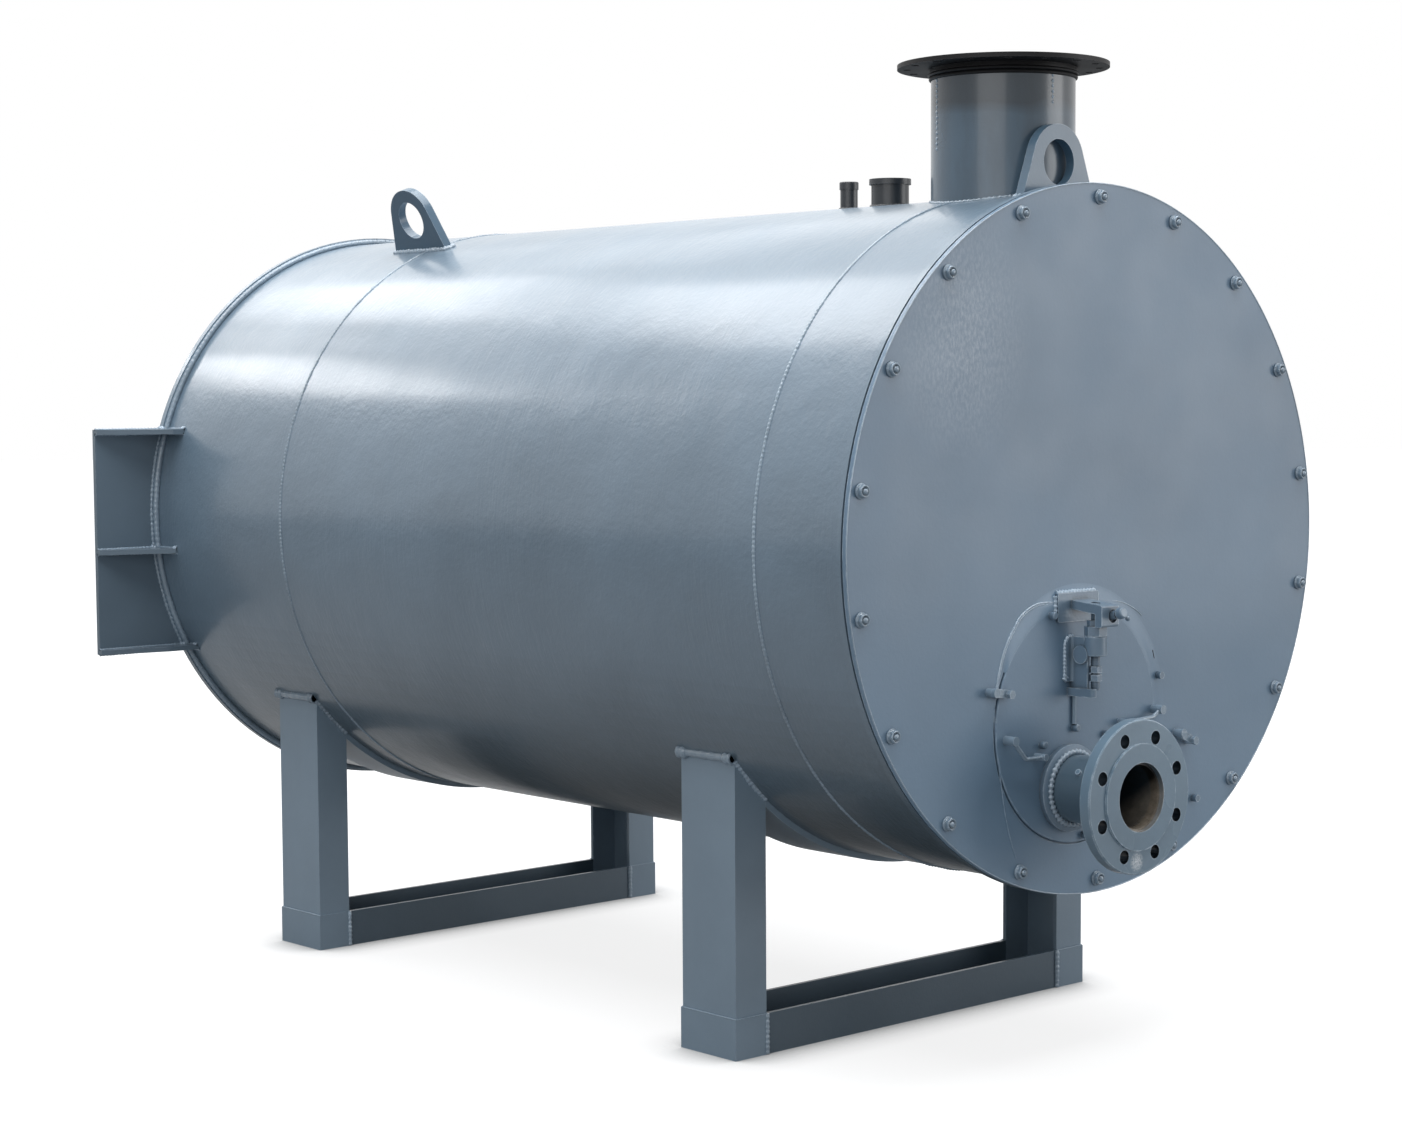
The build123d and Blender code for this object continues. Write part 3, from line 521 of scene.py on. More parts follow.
def stack_finish():
    """Smoke-stained dark enamel: smudges down the pipe, and a painted shadow band under the collar."""
    tree, shader, paint = enamel("stack_enamel", (0.066, 0.112, 0.158), edge=(0.3, 0.34, 0.38), rough=0.3,
                                 tone=0.12, wrinkle=0.08, waves=0.06)
    place = object_place(tree)
    drawn = stretched(tree, place, scale=(28, 28, 6))
    smudges = spread(tree, noise(tree, drawn, scale=1.0, detail=4.0, roughness=0.6), 0.4, 0.7, 0.0, 0.5)
    paint = blend_colours(tree, smudges, paint, SMUDGE)
    # Painted shadow of the flange: a band under the collar is darkened, with a wavering lower edge.
    wander = times(tree, noise(tree, place, scale=9.0, detail=1.0), 0.05)
    level = math_node(tree, "ADD", split(tree, place)["Z"], wander)
    painted_shade = spread(tree, level, collar_low.z - 25 * MM, collar_low.z - 8 * MM, 0.0, 0.7)
    feed(tree, shader.inputs["Base Color"], blend_colours(tree, painted_shade, paint, STACK_SHADOW))


def bore_lining(tree, place):
    """Colour of the bore: scaly rust at the mouth, and painted shade further in and higher up."""
    parts = split(tree, place)
    scales = spread(tree, noise(tree, place, scale=60.0, detail=8.0, roughness=0.7), 0.3, 0.7)
    rust = blend_colours(tree, scales, DARK_RUST, PALE_RUST)
    depth = math_node(tree, "SUBTRACT", parts["Y"], inlet_low.y)
    height = math_node(tree, "SUBTRACT", parts["Z"], INLET_Z)
    # Painted shade: the bore darkens with depth and with height.
    painted_shade = spread(tree, math_node(tree, "ADD", depth, times(tree, height, 1.5)), BORE_SHADE_FROM, BORE_SHADE_FULL)
    return blend_colours(tree, painted_shade, rust, BORE_SHADE)


def flange_holes(tree, radius):
    """Mask of the walls of the bolt holes, which lie between the raised face and the flange's edge; shade is
    painted there.
    """
    wall = math_node(tree, "LESS_THAN", math_node(tree, "ABSOLUTE", facing(tree)["Y"]), 0.5)
    inner = math_node(tree, "LESS_THAN", radius, FLANGE_EDGE - 4 * MM)
    outer = math_node(tree, "GREATER_THAN", radius, RAISED_FACE + 0.5 * MM)
    return times(tree, wall, times(tree, inner, outer))


def inlet_finish():
    """Gloss enamel with painted shade on the pipe behind the flange and in the bolt holes, a rusty bore, and
    one chalky spot on the face.
    """
    tree, shader, paint = enamel("inlet_enamel", (0.14, 0.215, 0.285), edge=(0.55, 0.65, 0.75), rough=0.3,
                                 coat=0.4, tone=0.2, edge_highlight=1.0, edge_width=2.8 * MM)
    place = object_place(tree)
    spot = spread(tree, reach_from(tree, place, CHALK_AT, axes=(1, 1, 1)), CHALK_EDGE, CHALK_CORE)
    specks = spread(tree, noise(tree, place, scale=420.0, detail=3.0, roughness=0.7), 0.38, 0.6)
    paint = blend_colours(tree, times(tree, spot, specks), paint, CHALK)
    radius = reach_from(tree, place, (INLET_X, 0, INLET_Z), axes=(1, 0, 1))
    inside = spread(tree, radius, INLET_BORE + 0.5 * MM, INLET_BORE - 0.2 * MM)
    pipe = spread(tree, radius, INLET_PIPE + 0.5 * MM, INLET_PIPE - 0.3 * MM)
    behind = spread(tree, split(tree, place)["Y"], inlet_high.y - 0.8 * MM, inlet_high.y - 0.2 * MM)
    # Painted shade on the pipe behind the flange.
    paint = blend_colours(tree, times(tree, times(tree, pipe, behind), 0.85), paint, PIPE_SHADE)
    lip = times(tree, pipe, math_node(tree, "SUBTRACT", 1.0, behind))
    paint = blend_colours(tree, math_node(tree, "MAXIMUM", inside, lip), paint, bore_lining(tree, place))
    # Painted shade in the bolt holes.
    paint = blend_colours(tree, flange_holes(tree, radius), paint, HOLE_SHADE)
    feed(tree, shader.inputs["Base Color"], paint)


def frame_finishes():
    """Enamels of the side bracket, the lifting lugs and the two frames, with a darker copy that paints shade
    on the crossbars.
    """
    enamel("bracket_enamel", (0.105, 0.148, 0.19), edge=(0.3, 0.36, 0.42), rough=0.36, waves=0.04, edge_highlight=0.4)
    enamel("lug_enamel", (0.062, 0.117, 0.174), edge=(0.4, 0.48, 0.56), rough=0.36, waves=0.02, edge_highlight=0.6)
    enamel("frame_enamel", (0.18, 0.248, 0.316), edge=(0.34, 0.42, 0.5), rough=0.4, coat=0.2, waves=0.03,
           edge_width=1.5 * MM)
    # Painted shade: a darker copy of the frame enamel for the crossbars, low down by the floor.
    enamel("crossbar_shaded_enamel", (0.062, 0.095, 0.127), edge=(0.26, 0.36, 0.46), rough=0.4, coat=0.2, waves=0.03,
           edge_width=1.5 * MM)


def fitting_finishes():
    """Enamels of the hinge, the rods and bolts, the welds and the paint skin; the rods, bolts and welds take
    lighter copies of the paint that stand for painted highlights.
    """
    enamel("fitting_enamel", (0.135, 0.2, 0.27), edge=EDGE_HIGHLIGHT, rough=0.34, coat=0.25, wrinkle=0.3,
           waves=0.02, edge_highlight=0.95, crevice_shade=0.9)
    # Painted light: a lighter copy of the fitting enamel for the bolts, rods, dogs and handles.
    enamel("lit_rod_enamel", (0.2, 0.275, 0.35), edge=EDGE_HIGHLIGHT, rough=0.3, coat=0.5, peel=0.5, wrinkle=0.5,
           waves=0.02, edge_highlight=0.7, edge_width=1.7 * MM, crevice_shade=0.3)
    # Painted highlights: lighter copies of the paint for the weld beads and the bright lines over the cover.
    enamel("lit_seam_enamel", (0.2, 0.265, 0.33), rough=0.3, coat=0.5, tone=0.35, peel=0.8, wrinkle=0.8,
           waves=0.0)
    enamel("lit_weld_enamel", (0.3, 0.385, 0.47), rough=0.3, coat=0.5, tone=0.35, peel=1.0, wrinkle=0.9,
           waves=0.0)
    enamel("skin_enamel", (0.139, 0.222, 0.316), rough=0.42, coat=0.15, waves=0.05)


def black_finishes():
    """Black enamel of the stack's top and the nozzles, and the gasket's rubber."""
    enamel("black_enamel", (0.005, 0.005, 0.006), edge=(0.12, 0.13, 0.14), rough=0.5, coat=0.0, specular=0.25,
           tone=0.25, edge_width=0.9 * MM)
    enamel("nozzle_enamel", (0.016, 0.02, 0.025), edge=(0.2, 0.23, 0.26), rough=0.4, coat=0.1, edge_highlight=0.4,
           edge_width=1 * MM)
    enamel("gasket_rubber", (0.01, 0.01, 0.01), rough=0.8, coat=0.0, peel=0.05, wrinkle=0.0, waves=0.0)


NODE_FINISHES = {
    "shell_enamel": ["shell_front_course", "shell_middle_course", "shell_rear_course", "front_seam_weld",
                     "rear_seam_weld", "rear_end_plate", "front_flange_ring"],
    "bracket_enamel": ["side_bracket_plate", "bracket_top_gusset", "bracket_middle_gusset",
                       "bracket_bottom_gusset"],
    "lug_enamel": ["front_lifting_lug", "rear_lifting_lug"],
    "cover_enamel": ["front_cover", "inspection_door"],
    "frame_enamel": ["foot_plates"] + [f"{end}_{piece}" for end in ("front", "rear")
                                       for piece in ("left_leg", "right_leg", "saddle_strap")],
    "crossbar_shaded_enamel": ["front_crossbar", "rear_crossbar"],
    "fitting_enamel": ["cover_nuts", "hinge_block", "hinge_strap", "hinge_rod", "hinge_nuts", "hinge_sleeve",
                       "hinge_bracket", "hinge_screw", "small_studs", "inlet_collar"],
    "lit_rod_enamel": ["door_rod", "left_dog", "right_dog", "left_handle", "right_handle"],
    "stack_enamel": ["stack_pipe"],
    "black_enamel": ["stack_collar", "stack_flange"],
    "nozzle_enamel": ["large_nozzle", "small_nozzle", "small_nozzle_cap"],
    "inlet_enamel": ["inlet_pipe", "inlet_flange"],
    "gasket_rubber": ["cover_gasket"],
}


def paint_nodes():
    """Gives each CAD node its finish."""
    for finish, names in NODE_FINISHES.items():
        for name in names:
            slots = nodes[name].data.materials
            slots.clear()
            slots.append(bpy.data.materials[finish])


# Paths for the weld beads
def path_mesh(name, paths):
    """Mesh of edges from lists of points; a path whose ends meet is closed."""
    mesh = bpy.data.meshes.new(name)
    points = []
    edges = []
    for path in paths:
        closed = (Vector(path[0]) - Vector(path[-1])).length < 0.01 * MM
        run = path[:-1] if closed else path
        first = len(points)
        points.extend(tuple(point) for point in run)
        edges.extend((first + step, first + step + 1) for step in range(len(run) - 1))
        if closed:
            edges.append((len(points) - 1, first))
    mesh.from_pydata(points, edges, [])
    return mesh


def arc_on_cover(centre_x, centre_z, radius, y, start=0, end=360, steps=72):
    """Arc that lies flat on the cover; its angles are in degrees from +X to +Z."""
    angles = [math.radians(start + (end - start) * step / steps) for step in range(steps + 1)]
    return [(centre_x + radius * math.cos(angle), y, centre_z + radius * math.sin(angle)) for angle in angles]


def arc_round_axis(radius, y, start=0, end=360, steps=240):
    """Arc about the shell's axis."""
    return arc_on_cover(0.0, AXIS_Z, radius, y, start, end, steps)


def half_chord(off_axis, radius=SHELL_RADIUS):
    """How far the round shell reaches either way at a distance off its axis."""
    return math.sqrt(radius ** 2 - off_axis ** 2)


def on_shell(x, y):
    """Point of the shell's upper side over a place on the floor."""
    return (x, y, AXIS_Z + half_chord(x))


def pipe_root(x, y, radius, steps=72):
    """Line where an upright pipe meets the shell."""
    angles = [FULL_TURN * step / steps for step in range(steps + 1)]
    return [on_shell(x + radius * math.cos(angle), y + radius * math.sin(angle)) for angle in angles]


def part_way(first, last, share):
    """Point between two others."""
    return tuple(Vector(first).lerp(Vector(last), share))


def straight(first, last, steps=1):
    """Straight run in even steps."""
    return [part_way(first, last, step / steps) for step in range(steps + 1)]


def smooth_run(points, steps=6):
    """Rounded path through a few points."""
    run = []
    ends = [points[0]] + list(points) + [points[-1]]
    for before, start, stop, after in zip(ends, ends[1:], ends[2:], ends[3:]):
        lead = (Vector(stop) - Vector(before)) / 2
        follow = (Vector(after) - Vector(start)) / 2
        for step in range(steps):
            t = step / steps
            place = (Vector(start) * (2 * t ** 3 - 3 * t ** 2 + 1) + lead * (t ** 3 - 2 * t ** 2 + t)
                     + Vector(stop) * (3 * t ** 2 - 2 * t ** 3) + follow * (t ** 3 - t ** 2))
            run.append(tuple(place))
    return run + [points[-1]]


def mark_on_cover(places):
    """Rounded path over the cover's face through places in millimetres across and up."""
    return smooth_run([(x * MM, COVER_Y, z * MM) for x, z in places])


def beside(run, reach):
    """Run moved sideways over the cover, outwards from the door's centre."""
    moved = []
    for x, y, z in run:
        away = Vector((x - DOOR_X, 0, z - DOOR_Z)).normalized() * reach
        moved.append((x + away.x, y, z + away.z))
    return moved


# Weld beads
def bead(name, paths, width, pitch, seed, finish="lit_weld_enamel", ripple=0.12, uneven=0.5,
         stands_for=()):
    """Weld bead piece along the paths."""
    piece = grow(name, path_mesh(name, paths), bead_tree, {
        "Width": width, "Ripple Pitch": pitch, "Ripple Depth": ripple, "Unevenness": uneven, "Seed": seed,
        "Finish": bpy.data.materials[finish]})
    if stands_for:
        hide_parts(*stands_for)
    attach(piece, "root")


def seam_beads():
    """Beads at the shell's two welded seams and round its two rims, and a line on the cover's edge."""
    for end, y, seed in (("front", FRONT_SEAM_Y, 3.0), ("rear", REAR_SEAM_Y, 5.0)):
        bead(f"{end}_seam_bead", [arc_round_axis(SHELL_RADIUS - 0.6 * MM, y)], width=5 * MM, pitch=6 * MM,
             finish="lit_seam_enamel", ripple=0.15, uneven=0.9, seed=seed, stands_for=[f"{end}_seam_weld"])
    bead("cover_edge_line", [arc_round_axis(RIM_RADIUS - 0.9 * MM, COVER_Y)], width=1.6 * MM, pitch=14 * MM,
         ripple=0.04, uneven=0.2, seed=6.0)
    bead("front_rim_bead", [arc_round_axis(SHELL_RADIUS, ring_high.y)], width=5 * MM, pitch=8 * MM,
         ripple=0.2, seed=7.0)
    rear_edge = arc_round_axis(SHELL_RADIUS + 3.5 * MM, rear_low.y - 0.5 * MM)
    bead("rear_rim_bead", [rear_edge], width=10 * MM, pitch=9 * MM, finish="lit_seam_enamel", ripple=0.06,
         uneven=0.35, seed=9.0)


def cope_path(side, frame_y):
    """Top edge of a leg where it is coped to the shell, round its three outer sides."""
    xs = (LEG_INNER, (LEG_INNER + LEG_OUTER) / 2, LEG_OUTER)
    before = [(side * x, frame_y - LEG_HALF_DEPTH, AXIS_Z - half_chord(x)) for x in xs]
    after = [(side * x, frame_y + LEG_HALF_DEPTH, AXIS_Z - half_chord(x)) for x in reversed(xs)]
    return before, before[-1:] + after[:1], after


def leg_beads():
    """Beads where the legs are coped to the shell, with a blob at each corner."""
    flanges = []
    webs = []
    for side in (-1, 1):
        for y in FRAME_YS:
            before, across, after = cope_path(side, y)
            flanges.extend((before, after))
            webs.append([(x + side * 3 * MM, y, z + 3 * MM) for x, y, z in across])
    bead("leg_web_beads", webs, width=13 * MM, pitch=18 * MM, finish="lit_seam_enamel", ripple=0.07,
         uneven=0.7, seed=11.0)
    bead("leg_flange_beads", flanges, width=9 * MM, pitch=7 * MM, finish="lit_seam_enamel",
         ripple=0.15, uneven=0.9, seed=12.0)
    blobs = [[first, part_way(first, last, 0.15)] for first, last in webs + [run[::-1] for run in webs]]
    bead("leg_corner_beads", blobs, width=16 * MM, pitch=9 * MM, finish="lit_seam_enamel",
         ripple=0.15, uneven=1.2, seed=14.0)


def shoe_beads():
    """Beads up the corners by the crossbars and over the shoes round the feet."""
    corners = []
    tops = []
    outer = LEG_OUTER + SHOE / 2
    for side in (-1, 1):
        for y in FRAME_YS:
            front, back = (y + end * (LEG_HALF_DEPTH + SHOE / 2) for end in (-1, 1))
            for corner_y in (front, back):
                corners.append(straight((side * LEG_INNER, corner_y, 1 * MM),
                                        (side * LEG_INNER, corner_y, foot_high.z)))
            round_foot = ((LEG_INNER, front), (outer, front), (outer, back), (LEG_INNER, back))
            tops.append([(side * x, corner_y, foot_high.z) for x, corner_y in round_foot])
    bead("crossbar_beads", corners, width=7 * MM, pitch=7 * MM, uneven=0.7, seed=13.0)
    bead("shoe_beads", tops, width=2.6 * MM, pitch=5 * MM, finish="frame_enamel", ripple=0.1,
         uneven=0.6, seed=15.0)


def front_lug_path():
    """Foot of the front lug, which stands across the shell."""
    middle = (front_lug_low.x + front_lug_high.x) / 2
    reach = (front_lug_high.x - front_lug_low.x) / 2 + 1 * MM
    xs = [middle - reach + 2 * reach * step / 24 for step in range(25)]
    foot = [on_shell(x, front_lug_low.y) for x in xs] + [on_shell(x, front_lug_high.y) for x in reversed(xs)]
    return foot + foot[:1]


def rear_lug_path():
    """Foot of the rear lug, which stands along the shell and leans to the left."""
    lean = math.radians(REAR_LUG_LEAN)
    middle = Vector((-math.sin(lean), 0, math.cos(lean))) * SHELL_RADIUS + Vector((0, 0, AXIS_Z))
    across = Vector((math.cos(lean), 0, math.sin(lean))) * (LUG_THICKNESS / 2)
    front, back = rear_lug_low.y - 1 * MM, rear_lug_high.y + 1 * MM
    corners = [(middle.x + side * across.x, y, middle.z + side * across.z)
               for side, y in ((-1, front), (-1, back), (1, back), (1, front), (-1, front))]
    foot = []
    for start, stop in zip(corners, corners[1:]):
        foot.extend(straight(start, stop, 12)[:-1])
    return foot + foot[:1]


def lug_beads():
    """Fillet beads round the foot of each lifting lug."""
    bead("front_lug_bead", [front_lug_path()], width=9 * MM, pitch=7 * MM, ripple=0.2, uneven=1.0, seed=17.0)
    bead("rear_lug_bead", [rear_lug_path()], width=10 * MM, pitch=8 * MM, ripple=0.2, uneven=1.2, seed=19.0)


def bracket_beads():
    """Beads where the side bracket and its gussets meet each other and the shell."""
    low_angle, high_angle = (180 - math.degrees(math.asin((z - AXIS_Z) / RIM_RADIUS))
                             for z in (bracket_low.z, bracket_high.z))
    plate_y = bracket_low.y
    rim = arc_round_axis(RIM_RADIUS, plate_y, low_angle, high_angle, 60)
    gussets = []
    ends = []
    for low, high in gusset_boxes:
        tip_x = -half_chord(high.z - AXIS_Z)
        rim_x = -half_chord(high.z - AXIS_Z, RIM_RADIUS)
        ends.append(straight((tip_x, low.y, high.z), (tip_x, low.y + 9 * MM, high.z), 3))
        ends.append(straight((rim_x - 5 * MM, plate_y, high.z), (rim_x + 4 * MM, plate_y, high.z), 3))
        for z in (low.z, high.z):
            shell_x = -half_chord(z - AXIS_Z)
            rim_x = -half_chord(z - AXIS_Z, RIM_RADIUS)
            gussets.append(straight((shell_x, low.y, z), (shell_x, rear_low.y, z), 12))
            gussets.append(straight((low.x, plate_y, z), (rim_x, plate_y, z), 12))
    bead("bracket_rim_bead", [rim], width=5 * MM, pitch=8 * MM, finish="lit_seam_enamel", ripple=0.25, uneven=1.0,
         seed=21.0)
    bead("gusset_beads", gussets, width=4.5 * MM, pitch=6 * MM, finish="lit_seam_enamel", ripple=0.2, uneven=0.9,
         seed=23.0)
    bead("gusset_end_beads", ends, width=8 * MM, pitch=5 * MM, ripple=0.25, uneven=1.2, seed=24.0)


def crown_beads():
    """Beads at the roots of the stack and nozzles, and down the stack's rolled seams."""
    bead("stack_root_bead", [pipe_root(STACK_X, STACK_Y, STACK_RADIUS)], width=5 * MM, pitch=7 * MM,
         finish="lit_seam_enamel", ripple=0.2, uneven=1.0, seed=25.0)
    roots = [pipe_root(0, (nozzle_low.y + nozzle_high.y) / 2, NOZZLE_RADIUS),
             pipe_root(0, (small_low.y + small_high.y) / 2, SMALL_RADIUS)]
    bead("nozzle_root_beads", roots, width=5 * MM, pitch=5 * MM, finish="nozzle_enamel",
         ripple=0.2, uneven=0.8, seed=27.0)
    seams = []
    for angle, length in ((LEFT_SEAM_ANGLE, LEFT_SEAM), (RIGHT_SEAM_ANGLE, RIGHT_SEAM)):
        x = STACK_X + (STACK_RADIUS - 0.4 * MM) * math.cos(math.radians(angle))
        y = STACK_Y + (STACK_RADIUS - 0.4 * MM) * math.sin(math.radians(angle))
        seams.append(straight((x, y, collar_low.z - length), (x, y, collar_low.z), 24))
    bead("stack_seam_bead", seams, width=2.6 * MM, pitch=7 * MM, ripple=0.75, uneven=0.9,
         seed=29.0)


def inlet_beads():
    """Scalloped bead over the inlet collar, and the slip-on flange's weld."""
    collar_top = arc_on_cover(INLET_X, INLET_Z, INLET_PIPE + 3 * MM, inlet_collar_low.y + 1 * MM)
    bead("inlet_collar_bead", [collar_top], width=7.5 * MM, pitch=7 * MM, ripple=0.32, uneven=1.0, seed=31.0)
    flange_back = arc_on_cover(INLET_X, INLET_Z, INLET_PIPE, inlet_high.y)
    bead("inlet_flange_bead", [flange_back], width=5 * MM, pitch=6 * MM, finish="inlet_enamel",
         ripple=0.2, seed=33.0)


def hinge_beads():
    """Crumbly beads over the hinge block and round the outer side of the hinge bracket's plate."""
    y = COVER_Y - 0.5 * MM
    over = straight((block_low.x + 2 * MM, y, block_high.z), (block_high.x - 2 * MM, y, block_high.z), 24)
    sides = [straight((x, y, block_high.z - 3 * MM), (x, y, block_high.z - 30 * MM), 8)
             for x in (block_low.x, block_high.x)]
    bead("hinge_block_bead", [over] + sides, width=8 * MM, pitch=6 * MM, ripple=0.2, uneven=1.4, seed=35.0)
    y = COVER_Y - 2.5 * MM
    left, top = plate_low.x, plate_high.z
    edge = straight((left, y, PLATE_FOOT), (left, y, top - PLATE_CORNER - 2 * MM), 10)
    edge += arc_on_cover(left + PLATE_CORNER, top - PLATE_CORNER, PLATE_CORNER, y, 180, 78, 20)
    bead("hinge_bracket_bead", [edge], width=4.6 * MM, pitch=5 * MM, ripple=0.25, uneven=1.3, seed=37.0)
    foot = [(left - 1 * MM, y, PLATE_FOOT - 1 * MM), (left + 3 * MM, y, PLATE_FOOT + 4 * MM)]
    bead("hinge_bracket_blob", [foot], width=8 * MM, pitch=5 * MM, ripple=0.3, uneven=1.0, seed=38.0)


def cover_marks():
    """Two lines of sealed paint at the door's upper left, a crease, a faint line and two nicks."""
    seat = mark_on_cover(DOOR_SEAT)
    bead("door_seat_outer_bead", [beside(seat, 1.3 * MM)], width=2.5 * MM, pitch=8 * MM, uneven=0.8,
         seed=39.0)
    bead("door_seat_inner_bead", [beside(seat, -1.3 * MM)], width=2.1 * MM, pitch=7 * MM, ripple=0.15,
         uneven=0.7, seed=40.0)
    bead("cover_crease", [mark_on_cover(CREASE)], width=1.8 * MM, pitch=20 * MM, finish="cover_enamel",
         ripple=0.0, uneven=0.4, seed=43.0)
    bead("door_upper_line", [mark_on_cover(UPPER_LINE)], width=1.5 * MM, pitch=9 * MM, ripple=0.1, uneven=0.6,
         seed=44.0)
    nicks = [[(x * MM, COVER_Y, z * MM) for x, z in nick] for nick in (UPPER_NICK, LOWER_NICK)]
    bead("cover_nicks", nicks, width=1.5 * MM, pitch=6 * MM, finish="gasket_rubber", ripple=0.1, uneven=0.6,
         seed=45.0)


# Pieces built through rings of points
def ring_points(radius_at, z, sides, centre=(0.0, 0.0)):
    """Level ring of points, with a radius for each angle."""
    turns = [FULL_TURN * side / sides for side in range(sides)]
    return [(centre[0] + radius_at(turn) * math.cos(turn), centre[1] + radius_at(turn) * math.sin(turn), z)
            for turn in turns]


def solid_through(name, rings, joined=False):
    """Closed solid through rings of points: capped at both ends, or joined from the last to the first."""
    mesh = bmesh.new()
    loops = [[mesh.verts.new(point) for point in ring] for ring in rings]
    for first, second in zip(loops, loops[1:] + (loops[:1] if joined else [])):
        for step in range(len(first)):
            following = (step + 1) % len(first)
            mesh.faces.new((first[step], first[following], second[following], second[step]))
    if not joined:
        mesh.faces.new(reversed(loops[0]))
        mesh.faces.new(loops[-1])
    bmesh.ops.recalc_face_normals(mesh, faces=mesh.faces)
    data = bpy.data.meshes.new(name)
    mesh.to_mesh(data)
    mesh.free()
    return data


def painted_piece(data, finish):
    """Object of a mesh, under the same name and with its finish."""
    data.materials.append(bpy.data.materials[finish])
    piece = bpy.data.objects.new(data.name, data)
    bpy.context.scene.collection.objects.link(piece)
    return piece


def skin_section(angle):
    """Cut through the paint skin: it slopes from the door's face to the cover, and both edges are sunk."""
    fade = min(1.0, (angle - FILLED_FROM) / SKIN_FADE, (FILLED_TO - angle) / SKIN_FADE)
    width = SKIN_LEAST + SKIN_MORE * fade
    slope = [(SKIN_FROM + width * share, SKIN_BASE + DOOR_PROUD * (1 - share * share * (3 - 2 * share)))
             for share in (step / 10 for step in range(11))]
    turn = math.radians(angle)
    return [(DOOR_X + radius * math.cos(turn), COVER_Y - height, DOOR_Z + radius * math.sin(turn))
            for radius, height in [(SKIN_FROM, -SKIN_SUNK)] + slope + [(SKIN_FROM + width, -SKIN_SUNK)]]


def door_gap_paint():
    """Skin of paint over the part of the door's gap that is filled."""
    angles = [FILLED_FROM + (FILLED_TO - FILLED_FROM) * step / SKIN_STEPS for step in range(SKIN_STEPS + 1)]
    data = solid_through("door_gap_paint", [skin_section(angle) for angle in angles])
    for face in data.polygons:
        face.use_smooth = face.normal.y < -0.9
    hard = {key for face in data.polygons if not face.use_smooth for key in face.edge_keys}
    for edge in data.edges:
        edge.use_edge_sharp = edge.key in hard
    piece = painted_piece(data, "skin_enamel")
    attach(piece, "root")


def circle(radius):
    """Radius of a round ring at any angle."""
    return lambda angle: radius


def hexagon(share):
    """Radius of the nut at any angle, with its corners rounded by paint."""
    def radius_at(angle):
        lean = (angle + math.pi / 6) % (math.pi / 3) - math.pi / 6
        return min(share * NUT_RADIUS / math.cos(lean), share * NUT_RADIUS * NUT_CORNER)
    return radius_at


def cover_bolt_mesh():
    """Washer, hexagon nut under thick paint, and the stud's end in a hollow, from the cover's face up."""
    washer_chamfer = 0.8 * MM
    stud_chamfer = 0.9 * MM
    rings = [
        (circle(WASHER_RADIUS), 0.0), (circle(WASHER_RADIUS), WASHER_TOP - washer_chamfer),
        (circle(WASHER_RADIUS - washer_chamfer), WASHER_TOP), (hexagon(0.94), WASHER_TOP + 0.1 * MM),
        (hexagon(1.03), WASHER_TOP + 1.1 * MM), (hexagon(1.03), NUT_TOP - 1.2 * MM),
        (circle(NUT_RADIUS), NUT_TOP), (circle(RECESS_RADIUS), NUT_TOP),
        (circle(RECESS_RADIUS - 0.4 * MM), RECESS_FLOOR), (circle(STUD_RADIUS), RECESS_FLOOR),
        (circle(STUD_RADIUS), STUD_TOP - stud_chamfer), (circle(STUD_RADIUS - stud_chamfer), STUD_TOP)]
    return solid_through("cover_bolt", [ring_points(radius_at, z, BOLT_SIDES) for radius_at, z in rings])


def cover_bolts():
    """The bolts round the cover."""
    piece = grow("cover_bolts", cover_bolt_mesh(), bolt_circle_tree(), {
        "Count": BOLT_COUNT, "Radius": BOLT_CIRCLE, "First Angle": math.pi / 2, "Seed": 4,
        "Centre": (0.0, COVER_Y, AXIS_Z), "Finish": bpy.data.materials["lit_rod_enamel"]})
    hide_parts("cover_nuts")
    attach(piece, "root")


def hinge_thread():
    """Threaded rod of the hinge."""
    x = (rod_low.x + rod_high.x) / 2
    y = (rod_low.y + rod_high.y) / 2
    radius = (rod_high.x - rod_low.x) / 2
    path = path_mesh("hinge_thread", [straight((x, y, rod_low.z), (x, y, rod_high.z))])
    piece = grow("hinge_thread", path, screw_thread_tree(), {
        "Crest Radius": radius, "Root Radius": radius - THREAD_DEPTH, "Pitch": THREAD_PITCH,
        "Finish": bpy.data.materials["fitting_enamel"]})
    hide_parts("hinge_rod")
    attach(piece, "root")


def stack_collar_rings():
    """Pressed collar under the stack flange: two rounded rings, by height and inset, and a plain neck."""
    foot = collar_low.z
    outer = (collar_high.x - collar_low.x) / 2
    neck = outer - NECK_INSET
    profile = [(STACK_RADIUS, foot)]
    for base, inset in RING_PLACES:
        for step in range(7):
            angle = math.pi * (step / 6 - 0.5)
            profile.append((outer - inset - COLLAR_RING + COLLAR_RING * math.cos(angle),
                            foot + base + COLLAR_RING + COLLAR_RING * math.sin(angle)))
    profile += [(neck, foot + COLLAR_NECK), (neck, collar_high.z), (STACK_RADIUS, collar_high.z)]
    rings = [ring_points(circle(radius), z, COLLAR_SIDES, (STACK_X, STACK_Y)) for radius, z in profile]
    piece = painted_piece(solid_through("stack_collar_rings", rings, joined=True), "black_enamel")
    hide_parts("stack_collar")
    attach(piece, "root")


